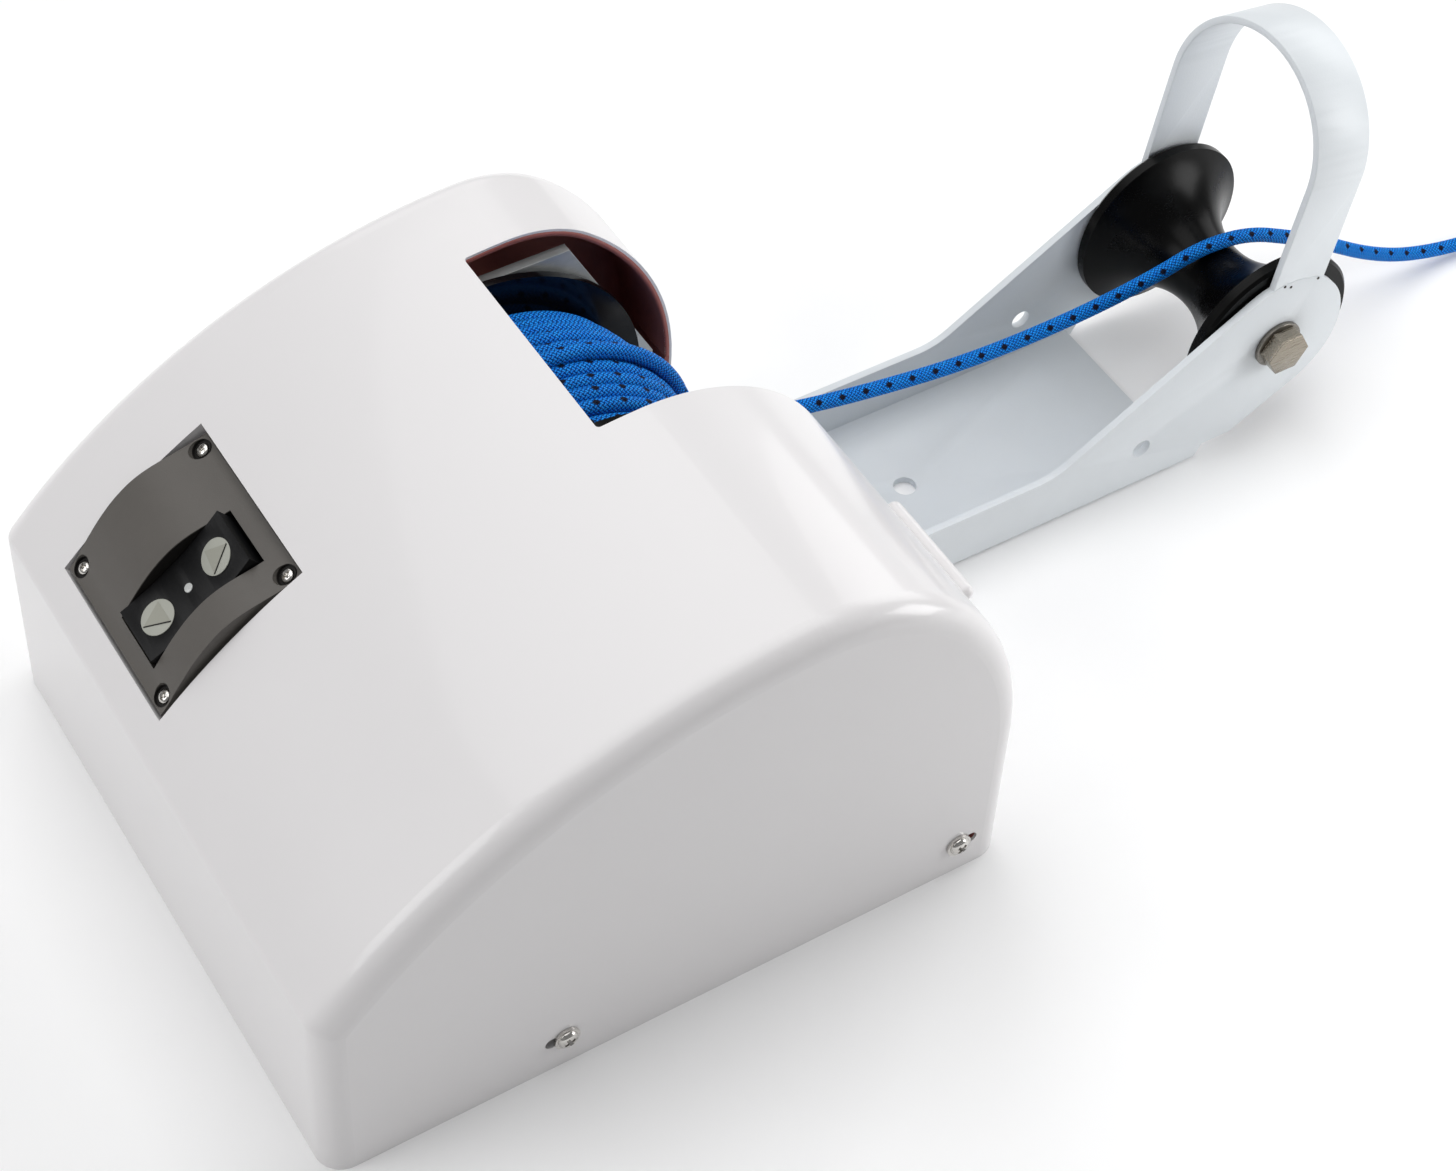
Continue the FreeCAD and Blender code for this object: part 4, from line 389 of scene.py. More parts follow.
WASHER = Finish("washer_grey", (0.16, 0.15, 0.135), (0.24, 0.225, 0.2), 0.3, metallic=1.0, scratch_amount=0.5)
GALVANISED = Finish("bracket_grey", (0.36, 0.38, 0.38), (0.46, 0.48, 0.48), 0.38, metallic=0.55,
                    scratch_amount=0.5, mottle_scale=60.0, mottle_spread=2.2)
GEAR = Finish("gear_steel", (0.42, 0.41, 0.39), (0.52, 0.51, 0.49), 0.34, metallic=1.0, scratch_amount=0.6)
SHAFT = Finish("ground_steel", (0.56, 0.55, 0.54), (0.64, 0.63, 0.62), 0.2, metallic=1.0, scratch_amount=0.5)
SPOOL = Finish("spool_gloss", (0.002, 0.002, 0.0025), (0.004, 0.004, 0.005), 0.12, specular=0.2,
               peel_scale=90.0, peel_depth=0.04, scratch_amount=0.05)
BRASS = Finish("bush_brass", (0.66, 0.46, 0.2), (0.74, 0.54, 0.26), 0.32, metallic=1.0, scratch_amount=0.5)
CASTING = Finish("gearhead_cast", (0.5, 0.51, 0.52), (0.58, 0.59, 0.6), 0.46, metallic=0.9, peel_scale=900.0,
                 peel_depth=0.3)
MOTOR = Finish("motor_paint", (0.02, 0.02, 0.022), (0.03, 0.03, 0.032), 0.4, peel_scale=900.0, peel_depth=0.15)
RUBBER = Finish("grommet_rubber", (0.02, 0.02, 0.02), (0.03, 0.03, 0.03), 0.62)
POWDER = Finish("powder_white", (0.70, 0.735, 0.76), (0.74, 0.775, 0.80), 0.36, peel_scale=1300.0,
                peel_depth=0.1, scratch_amount=0.05, mottle_scale=24.0)
ROLLER = Finish("roller_gloss", (0.001, 0.001, 0.001), (0.002, 0.002, 0.002), 0.24, specular=0.12,
                peel_scale=260.0, peel_depth=0.07, scratch_amount=0.05)
NYLON = Finish("bush_nylon", (0.7, 0.69, 0.64), (0.76, 0.75, 0.7), 0.45)
FERRULE = Finish("ferrule_satin", (0.5, 0.51, 0.52), (0.6, 0.61, 0.62), 0.34, metallic=1.0, scratch_amount=0.5)
ROPE = RopeFinish("rope_blue", (0.002, 0.19, 0.82), (0.02, 0.38, 1.0), 0.5, specular=0.08,
                  mottle_scale=500.0, mottle_spread=2.5)
# Painted shade: a darker rope blue, for the rope's core where it shows between the braid's strands and for the fill
# under the drum's outer turns.
SHADE = Finish("rope_painted_shade", (0.001, 0.03, 0.2), (0.002, 0.045, 0.26), 0.8, specular=0.1)
LINER = Finish("liner_brown", (0.33, 0.1, 0.085), (0.39, 0.125, 0.105), 0.5, specular=0.3, peel_depth=0.1)
# Near black that stands in for shade: painted shade in the screw sinks and along the switch way's edges; it also
# makes the dark lines on the rocker's discs.
SINK = Finish("sink_shadow", (0.01, 0.009, 0.008), (0.014, 0.012, 0.011), 0.5, specular=0.3)
ARROW = Finish("arrow_grey", (0.30, 0.30, 0.255), (0.34, 0.34, 0.29), 0.5, peel_scale=2500.0, peel_depth=0.08)
WELD = Finish("weld_scale", (0.03, 0.026, 0.022), (0.06, 0.05, 0.04), 0.6, metallic=0.4)

DRESSED: dict[Finish, str] = {
    GALVANISED: "base_plate near_bracket far_bracket gear_plate",
    SHAFT: "gear_spacers drum_shaft shaft_clips idler_shaft motor_shaft",
    CHROME: "gear_plate_screws cover_washers cover_screws cover_nuts tongue_bolts bracket_bolts panel_screws",
    GEAR: "drum_gear idler_gear motor_pinion",
    SPOOL: "spool",
    BRASS: "drum_bushes idler_bushes",
    CASTING: "gearhead_case",
    MOTOR: "motor_body",
    RUBBER: "cable_grommet",
    POWDER: "davit_channel hoop_guard",
    ROLLER: "bow_roller",
    NYLON: "roller_bush",
    STAINLESS: "roller_bolt roller_nut",
    WASHER: "roller_washers",
    FERRULE: "rope_ferrule rope_thimble",
    COVER: "cover",
    PANEL: "control_panel",
    SWITCH: "motor_end_cap switch_housing rocker_switch",
    DISC: "rocker_discs",
    LAMP: "rocker_lamp",
    ROPE: "rope_winding anchor_rope rope_eye",
}
FINISH_OF = {node: finish for finish, nodes in DRESSED.items() for node in nodes.split()}



# Mesh helpers.
def placed(name: str, data: ID) -> Object:
    """Put data in the scene as an object.

    Args:
        name: the object's name.
        data: its mesh, curve, lamp or camera.

    Returns:
        The new object.
    """
    made = bpy.data.objects.new(name, data)
    bpy.context.scene.collection.objects.link(made)
    return made


def new_piece(name: str, mesh: Mesh, finish: Finish, body: Body) -> Object:
    """Put a mesh in the scene as a piece of the part.

    Args:
        name: the piece's name.
        mesh: its mesh, in the part's frame.
        finish: what it is made of.
        body: the body that it moves with.

    Returns:
        The new object.
    """
    made = placed(name, mesh)
    mesh.materials.append(finish.material())
    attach(made, body.value)
    LOG.info("%s: %d faces", name, len(mesh.polygons))
    return made


@dataclass(frozen=True)
class Braid:
    """How a stretch of rope is laid: its pattern, its relief and how finely it is meshed."""

    around: int
    weave: float
    phase: float
    radius: float = 3.0 * MM
    lay: float = 22.0 * MM

    def height(self, along: float, around: float) -> float:
        """Height of the upper strand, from 0 at its lowest between strands to 1 on its crest.

        Args:
            along: distance along the rope in lay lengths.
            around: share of a turn round the rope.

        Returns:
            The height.
        """
        left, right = (around + along) * STRANDS, (around - along) * STRANDS
        upper = left if (math.floor(left) + math.floor(right)) % 2 else right
        return abs(math.sin(upper * math.pi))

    def laid(self, name: str, route: list[Vector], body: Body) -> Object:
        """Rope along a route, with UV in lay lengths along it and turns round it.

        Args:
            name: the piece's name.
            route: points along the rope's middle.
            body: the body that it moves with.

        Returns:
            The rope's piece.
        """
        verts, uvs, travelled = [], [], 0.0
        side = (route[1] - route[0]).orthogonal().normalized()
        for index, point in enumerate(route):
            before, after = route[max(index - 1, 0)], route[min(index + 1, len(route) - 1)]
            heading = (after - before).normalized()
            side = (side - heading * side.dot(heading)).normalized()
            up = heading.cross(side)
            if index:
                travelled += (point - route[index - 1]).length
            along = travelled / self.lay
            for step in range(self.around + 1):
                turn = step / self.around
                reach = self.radius - self.weave * (1.0 - self.height(along, turn + self.phase))
                angle = turn * math.tau
                verts.append(point + (side * math.cos(angle) + up * math.sin(angle)) * reach)
                uvs.append((along, turn + self.phase))
        ring = self.around + 1
        firsts = [row * ring + step for row in range(len(route) - 1) for step in range(self.around)]
        mesh = bpy.data.meshes.new(name)
        mesh.from_pydata([tuple(vert) for vert in verts], [], [(i, i + ring, i + ring + 1, i + 1) for i in firsts])
        layer = mesh.uv_layers.new(name="weave")
        for loop in mesh.loops:
            layer.data[loop.index].uv = uvs[loop.vertex_index]
        mesh.shade_smooth()
        return new_piece(name, mesh, ROPE, body)


def even_line(raw: list[Vector], spacing: float) -> list[Vector]:
    """Points along a line at an even spacing.

    Args:
        raw: the line's corners.
        spacing: the wanted distance between points.

    Returns:
        The new points, with both ends kept.
    """
    total = sum((b - a).length for a, b in zip(raw, raw[1:]))
    count = max(int(total / spacing), 2)
    step = total / count
    points, passed, target = [raw[0].copy()], 0.0, step
    for start, end in zip(raw, raw[1:]):
        run = (end - start).length
        while run > 0 and passed + run >= target - 1e-12 and len(points) < count:
            points.append(start.lerp(end, (target - passed) / run))
            target += step
        passed += run
    points.append(raw[-1].copy())
    return points


def extent(points: list[Vector]) -> tuple[Vector, Vector]:
    """The box round some points.

    Args:
        points: the points.

    Returns:
        The low and high corner.
    """
    return (Vector([min(p[i] for p in points) for i in range(3)]),
            Vector([max(p[i] for p in points) for i in range(3)]))


def merged(mesh: Mesh) -> BMesh:
    """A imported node's mesh with its corners joined.

    Args:
        mesh: the node's mesh, which stays as it is.

    Returns:
        The joined mesh, which the caller frees.
    """
    work = bmesh.new()
    work.from_mesh(mesh)
    bmesh.ops.remove_doubles(work, verts=work.verts, dist=MERGE)
    return work


def loose_boxes(node: str, to_local: Matrix) -> list[tuple[Vector, Vector]]:
    """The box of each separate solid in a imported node.

    Args:
        node: the node's name.
        to_local: from the part's frame to the frame that the boxes are wanted in.

    Returns:
        The low and high corner of each box.
    """
    work = merged(frame["nodes"][node].data)
    work.transform(to_local)
    left, boxes = set(work.verts), []
    while left:
        reached = [left.pop()]
        for vert in reached:
            for edge in vert.link_edges:
                other = edge.other_vert(vert)
                if other in left:
                    left.remove(other)
                    reached.append(other)
        boxes.append(extent([vert.co for vert in reached]))
    work.free()
    return sorted(boxes, key=lambda box: tuple(round(x, 4) for x in box[0]))


def eased(piece: Object, width: float) -> None:
    """Round a piece's sharp edges with a bevel and smooth its faces.

    Args:
        piece: the piece.
        width: how far each edge is eased.
    """
    bevel = piece.modifiers.new("eased", "BEVEL")
    bevel.width = width
    bevel.segments = 2
    bevel.limit_method = "ANGLE"
    bevel.angle_limit = math.radians(35)
    bevel.harden_normals = True
    piece.data.shade_smooth()


def softened(node: str, width: float, lift: Vector = Vector()) -> Object:
    """A copy of a CAD node with its sharp edges eased, which stands for the node.

    Args:
        node: the CAD node's name.
        width: how far each edge is eased.
        lift: how far the copy stands from the node.

    Returns:
        The new piece.
    """
    mesh = frame["nodes"][node].data.copy()
    mesh.transform(Matrix.Translation(lift))
    mesh.materials.clear()
    work = merged(mesh)
    bmesh.ops.dissolve_limit(work, angle_limit=math.radians(0.5), verts=work.verts, edges=work.edges)
    work.to_mesh(mesh)
    work.free()
    piece = new_piece(node + "_eased", mesh, FINISH_OF[node], Body(HOMES[node]))
    eased(piece, width)
    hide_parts(node)
    return piece


def turned(profile: list[tuple[float, float]], steps: int) -> BMesh:
    """Turn a profile round Z, closed where it starts or ends on the axis.

    Args:
        profile: (radius, height) points.
        steps: faces round the axis.

    Returns:
        The solid, which the caller frees.
    """
    work = bmesh.new()
    rings = []
    for radius, height in profile:
        count = steps if radius > 0 else 1
        angles = [math.tau * i / count for i in range(count)]
        rings.append([work.verts.new((radius * math.cos(a), radius * math.sin(a), height)) for a in angles])
    for inner, outer in zip(rings, rings[1:]):
        for i in range(steps):
            after = (i + 1) % steps
            corners = [inner[i % len(inner)], outer[i % len(outer)], outer[after % len(outer)],
                       inner[after % len(inner)]]
            work.faces.new(list(dict.fromkeys(corners)))
    bmesh.ops.recalc_face_normals(work, faces=work.faces)
    return work


def seated(spot: Vector, tilt: float) -> Matrix:
    """Where a solid turned round Z stands when its axis is tipped over X.

    Args:
        spot: where its origin goes.
        tilt: how far it is tipped, in degrees: -90 for an axis along +Y.

    Returns:
        The place.
    """
    return Matrix.Translation(spot) @ Matrix.Rotation(math.radians(tilt), 4, "X")


def lofted(rings: list[list[object]]) -> BMesh:
    """A solid through closed rings of corners, capped at both ends.

    Args:
        rings: the corners of each ring, as many in each.

    Returns:
        The solid, which the caller frees.
    """
    work = bmesh.new()
    rows = [[work.verts.new(corner) for corner in ring] for ring in rings]
    for first, second in zip(rows, rows[1:]):
        for i in range(len(first)):
            after = (i + 1) % len(first)
            work.faces.new((first[i], second[i], second[after], first[after]))
    work.faces.new(rows[0])
    work.faces.new(rows[-1])
    bmesh.ops.recalc_face_normals(work, faces=work.faces)
    return work


def gathered(name: str, solids: list[tuple[BMesh, Matrix]]) -> Mesh:
    """Put solids in one mesh, each at its place, and free them.

    Args:
        name: the mesh's name.
        solids: each solid with its place.

    Returns:
        The mesh.
    """
    whole = bmesh.new()
    for solid, place in solids:
        part = bpy.data.meshes.new("part")
        solid.transform(place)
        solid.to_mesh(part)
        solid.free()
        whole.from_mesh(part)
        bpy.data.meshes.remove(part)
    mesh = bpy.data.meshes.new(name)
    whole.to_mesh(mesh)
    whole.free()
    return mesh


def carved(mesh: Mesh, cutter: Mesh) -> Mesh:
    """Cut one mesh out of another, and remove both.

    Args:
        mesh: the solid to cut.
        cutter: what is taken away.

    Returns:
        The mesh that is left.
    """
    blank, tool = placed("blank", mesh), placed("tool", cutter)
    cut = blank.modifiers.new("cut", "BOOLEAN")
    cut.operation = "DIFFERENCE"
    cut.solver = "EXACT"
    cut.object = tool
    graph = bpy.context.evaluated_depsgraph_get()
    result = bpy.data.meshes.new_from_object(blank.evaluated_get(graph))
    for item in (blank, tool):
        bpy.data.objects.remove(item)
    for spent in (mesh, cutter):
        bpy.data.meshes.remove(spent)
    return result


PAN_HEAD = ((0.0, 1.0), (0.35, 0.98), (0.62, 0.88), (0.85, 0.66), (0.96, 0.4), (1.0, 0.12), (1.0, 0.0))


@dataclass(frozen=True)
class Screw:
    """A domed screw with a cross recess. Recess sizes are shares of the head's."""

    head: float
    crown: float
    shank: float
    length: float
    recess_reach: float = 0.66
    recess_half: float = 0.17
    recess_foot: float = 0.45
    recess_top: float = 1.2
    first_turn: float = 23.0
    next_turn: float = 37.0

    def fitted(self, name: str, places: list[Matrix]) -> Mesh:
        """Screws at several seats, each turned a little differently.

        Args:
            name: the mesh's name.
            places: the seat of each head, Z outwards.

        Returns:
            The mesh.
        """
        profile = [(radius * self.head, height * self.crown) for radius, height in PAN_HEAD]
        profile += [(self.shank, 0.0), (self.shank, -self.length), (0.0, -self.length)]
        solids, tools = [], []
        for index, place in enumerate(places):
            turn = math.radians(self.first_turn + self.next_turn * index)
            spun = place @ Matrix.Rotation(turn, 4, "Z")
            solids.append((turned(profile, ROUND), spun))
            tools.append((self.recess(), spun))
        return carved(gathered(name, solids), gathered(name + "_recess", tools))

    def recess(self) -> BMesh:
        """The shape of the cross recess: four arms that narrow as they go down.

        Returns:
            The solid, which the caller frees.
        """
        reach, half, top = self.head * self.recess_reach, self.head * self.recess_half, self.crown * self.recess_top
        rings = []
        for height, arm in ((top, reach), (top - self.crown, reach * self.recess_foot)):
            quarter = [Vector((arm, -half, height)), Vector((arm, half, height)), Vector((half, half, height))]
            rings.append([Matrix.Rotation(turn * math.pi / 2, 3, "Z") @ corner
                          for turn in range(4) for corner in quarter])
        work = lofted(rings)
        bmesh.ops.triangulate(work, faces=work.faces)
        return work


# The part's pieces.
@dataclass
class Stage:
    """The photograph's viewpoint, the pale floor and the soft studio light."""

    focal_px: float = 3048.632
    azimuth: float = -34.668
    elevation: float = 49.374
    roll: float = 3.972
    target: Vector = Vector((0.114262, 0.029372, 0.0))
    distance: float = 1.178715
    floor_size: float = 14.0
    ambient: float = 0.22
    lamps: tuple[tuple[str, float, float, tuple[float, float, float]], ...] = (
        ("overhead", 2.8, 45.0, (0.0, 0.55, 2.6)),
        ("front_left", 1.6, 21.0, (-2.3, 0.5, 1.8)),
        ("bow_side", 1.6, 18.0, (2.3, 0.7, 1.3)),
        ("bracket_side", 0.35, 2.2, (0.82, -0.42, 0.3)),
        ("far_side", 1.6, 9.0, (0.8, 2.4, 1.5)),
    )
    lamps_aim: Vector = Vector((0.1, 0.0, 0.05))

    def build(self) -> None:
        """Make the camera, floor, lamps and world."""
        self.make_camera()
        self.make_floor()
        self.make_lamps()
        self.make_world()
        bpy.context.scene.view_settings.view_transform = "Standard"

    def make_camera(self) -> None:
        """Place the camera where the photograph was taken from."""
        turn, lift, lean = (math.radians(angle) for angle in (self.azimuth, self.elevation, self.roll))
        back = Vector((math.sin(turn) * math.cos(lift), -math.cos(turn) * math.cos(lift), math.sin(lift)))
        level = Vector((math.cos(turn), math.sin(turn), 0.0))
        upright = back.cross(level)
        right = level * math.cos(lean) + upright * math.sin(lean)
        up = upright * math.cos(lean) - level * math.sin(lean)
        data = bpy.data.cameras.new("viewpoint")
        data.sensor_width = 36.0
        data.lens = self.focal_px / IMAGE_WIDTH * data.sensor_width
        data.clip_end = 50.0
        camera = placed("viewpoint", data)
        camera.matrix_world = Matrix((right, up, back)).transposed().to_4x4()
        camera.location = self.target + back * self.distance
        bpy.context.scene.camera = camera

    def make_floor(self) -> None:
        """Lay a pale floor that keeps the part's shadow."""
        mesh = bpy.data.meshes.new("floor")
        half = self.floor_size / 2
        mesh.from_pydata([(-half, -half, 0), (half, -half, 0), (half, half, 0), (-half, half, 0)], [],
                         [(0, 1, 2, 3)])
        floor = placed("floor", mesh)
        made = bpy.data.materials.new("floor_pale")
        made.use_nodes = True
        graph = NodeGraph(made.node_tree)
        shader = made.node_tree.nodes["Principled BSDF"]
        tone = graph.ramp(graph.noise(9.0, 3.0), 0.3, 0.7, 0.96, 0.98)
        grey = graph.node("ShaderNodeCombineColor", dict.fromkeys(("Red", "Green", "Blue"), tone))
        graph.feed(shader.inputs["Base Color"], grey.outputs["Color"])
        shader.inputs["Roughness"].default_value = 0.7
        shader.inputs["Specular IOR Level"].default_value = 0.15
        mesh.materials.append(made)

    def make_lamps(self) -> None:
        """Hang one broad soft lamp overhead and weaker ones at the sides."""
        for name, size, power, place in self.lamps:
            data = bpy.data.lights.new(name, "AREA")
            data.size = size
            data.energy = power
            lamp = placed(name, data)
            lamp.location = place
            lamp.rotation_euler = (self.lamps_aim - Vector(place)).to_track_quat("-Z", "Y").to_euler()

    def make_world(self) -> None:
        """Light the part evenly, with pure white behind it for the camera."""
        world = bpy.data.worlds.new("studio")
        world.use_nodes = True
        bpy.context.scene.world = world
        graph = NodeGraph(world.node_tree)
        ambient = world.node_tree.nodes["Background"]
        ambient.inputs["Color"].default_value = (0.98, 0.985, 1.0, 1.0)
        ambient.inputs["Strength"].default_value = self.ambient
        white = graph.node("ShaderNodeBackground", {"Strength": 1.0})
        mixed = graph.node("ShaderNodeMixShader")
        for index, source in enumerate((graph.node("ShaderNodeLightPath").outputs["Is Camera Ray"],
                                        ambient.outputs[0], white.outputs[0])):
            graph.feed(mixed.inputs[index], source)
        graph.feed(world.node_tree.nodes["World Output"].inputs["Surface"], mixed.outputs[0])


@dataclass
class AnchorRope:
    """The free rope: its core curve, its braided skin, the eye and the metal on its end."""

    radius: float = 3.0 * MM
    core_share: float = 0.94
    length: float = 491.5 * MM
    braid: Braid = Braid(around=64, weave=0.22 * MM, phase=-0.147)
    spacing: float = 0.4 * MM
    eye_radius: float = 14.0 * MM
    sleeve_half: float = 11.0 * MM
    route: tuple[tuple[float, float, float], ...] = (
        (91.862, 37.0, 113.334), (98.5, 37.0, 95.0), (122.0, 37.0, 82.0), (171.0, 37.0, 69.8),
        (232.5, 37.0, 60.5), (301.5, 37.0, 62.5), (348.6, 37.0, 74.1), (395.5, 37.0, 49.5),
        (441.5, 37.0, 18.0), (478.5, 37.0, 4.8), (514.5, 33.0, 4.8), (548.5, 40.0, 4.8),
    )

    def build(self) -> None:
        """Make the rope, its braided skin and the eye's skin."""
        curve = bpy.data.curves.new("anchor_rope_core", "CURVE")
        curve.dimensions = "3D"
        curve.resolution_u = 24
        spline = curve.splines.new("NURBS")
        spline.points.add(len(self.route) - 1)
        for point, place in zip(spline.points, self.route):
            point.co = (*(Vector(place) * MM), 1.0)
        spline.order_u = 3
        spline.use_endpoint_u = True
        core = placed("anchor_rope_core", curve)
        line = self.read_line(core)
        curve.bevel_depth = self.radius * self.core_share
        curve.bevel_resolution = 3
        # The core's dark blue is painted shade where it shows between the braid's strands.
        curve.materials.append(SHADE.material())
        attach(core, Body.FRAME.value)
        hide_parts("anchor_rope")
        skin = self.braid.laid("anchor_rope_braid", line, Body.FRAME)
        eye = self.make_eye()

    def read_line(self, core: Object) -> list[Vector]:
        """Read the curve's own middle line at an even spacing.

        Args:
            core: the rope's curve, with no thickness yet.

        Returns:
            Points from the drum to the ferrule.
        """
        bpy.context.view_layer.update()
        mesh = bpy.data.meshes.new_from_object(core)
        raw = [vert.co.copy() for vert in mesh.vertices]
        bpy.data.meshes.remove(mesh)
        return even_line(raw, self.spacing)

    def make_eye(self) -> Object:
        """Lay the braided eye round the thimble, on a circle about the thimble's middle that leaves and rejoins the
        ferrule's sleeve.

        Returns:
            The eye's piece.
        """
        ferrule_low, ferrule_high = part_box("rope_ferrule")
        thimble_low, thimble_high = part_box("rope_thimble")
        centre = (thimble_low + thimble_high) / 2
        heading = (Vector(self.route[-1]) - Vector(self.route[-2])).normalized()
        aside = Vector((-heading.y, heading.x, 0.0))
        sleeve_end = (ferrule_low + ferrule_high) / 2 + heading * self.sleeve_half
        near, far = sleeve_end - aside * self.radius, sleeve_end + aside * self.radius
        swing = (math.acos(self.eye_radius / (near - centre).length)
                 + math.atan2(self.radius, (sleeve_end - centre).length))
        line = [near]
        steps = 60
        for step in range(steps + 1):
            angle = -math.pi + swing + (2 * math.pi - 2 * swing) * step / steps
            line.append(centre + (heading * math.cos(angle) + aside * math.sin(angle)) * self.eye_radius)
        line.append(far)
        piece = self.braid.laid("rope_eye_braid", even_line(line, self.spacing), Body.FRAME)
        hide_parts("rope_eye")
        return piece


@dataclass
class Drum:
    """The rope wound on the drum, turn by turn, with a last layer that wanders across it."""

    rope: AnchorRope
    turns: int = 12
    layers: int = 2
    layer_step: float = 1.5
    barrel: float = 22.5 * MM
    end_radius: float = 56.5 * MM
    crown: float = 7.5 * MM
    steps_per_turn: int = 180
    wander: tuple[float, float] = (0.9 * MM, 0.8 * MM)
    ripple: float = 0.35 * MM
    sunk: float = 0.4 * MM
    braid: Braid = Braid(around=24, weave=0.0, phase=0.14)
    lead_angle: float = 190.0
    lead_steps: int = 140

    def __post_init__(self) -> None:
        """Find the winding's middle, and half of the width that the turns' middles cover."""
        low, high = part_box("rope_winding")
        self.centre = (low + high) / 2
        self.half = (high.y - low.y) / 2 - self.rope.radius

    def build(self) -> None:
        """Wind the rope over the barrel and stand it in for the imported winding."""
        line = [point for layer in range(self.layers) for point in self.layer_line(layer)]
        piece = self.braid.laid("rope_turns", line, Body.DRUM)
        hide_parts("rope_winding")
        self.make_under()
        self.make_lead()

    def round_drum(self, reach: float, angle: float, along: float) -> Vector:
        """A point given by its place round the drum.

        Args:
            reach: its distance from the drum's axis.
            angle: its angle, from the bow upwards.
            along: its distance from the winding's middle.

        Returns:
            The point.
        """
        return self.centre + Vector((reach * math.cos(angle), along, reach * math.sin(angle)))

    def layer_line(self, layer: int) -> list[Vector]:
        """The middle line of one layer of turns.

        Args:
            layer: which layer, from the inside.

        Returns:
            Points along the layer.
        """
        line = []
        depth = (self.layers - 1 - layer) * self.rope.radius * self.layer_step
        for step in range(self.turns * self.steps_per_turn):
            turn = step / self.steps_per_turn
            across = (turn / self.turns * 2 - 1) * self.half * (1 if layer % 2 else -1)
            wander = (math.sin(turn * 2.1 + layer * 1.7) * self.wander[0]
                      + math.sin(turn * 0.73 + 2.0) * self.wander[1])
            rise = self.crown * (1 - (across / self.half) ** 2) + math.sin(turn * 3.3 + layer) * self.ripple
            reach = self.end_radius + rise - self.rope.radius - depth - self.sunk
            line.append(self.round_drum(reach, turn * math.tau, across + wander * (1 - abs(across) / self.half)))
        return line

    def make_under(self) -> None:
        """Fill the winding under its two outer layers, coloured dark blue as painted shade."""
        fill = self.end_radius - 2.5 * self.rope.radius
        shares = [step / 6 - 1 for step in range(13)]
        outline = [(fill + self.crown * (1 - share ** 2), self.half * share) for share in shares]
        outline = [(self.barrel, -self.half), *outline, (self.barrel, self.half)]
        mesh = gathered("rope_under_shade", [(turned(outline, 64), seated(self.centre, -90))])
        mesh.shade_smooth()
        new_piece("rope_under_shade", mesh, SHADE, Body.DRUM)

    def make_lead(self) -> None:
        """Lay the last part turn, from the free rope's start back over the drum."""
        aside = Vector(self.rope.route[0]) * MM - self.centre
        reach, first = math.hypot(aside.x, aside.z), math.atan2(aside.z, aside.x)
        line = []
        for step in range(self.lead_steps):
            share = step / (self.lead_steps - 1)
            depth = reach - 2.2 * self.rope.radius * share ** 1.5
            angle = first + share * math.radians(self.lead_angle)
            line.append(self.round_drum(depth, angle, aside.y - 4 * MM * share ** 2))
        replace(self.braid, around=32).laid("rope_lead", even_line(line, 0.8 * MM), Body.FRAME)


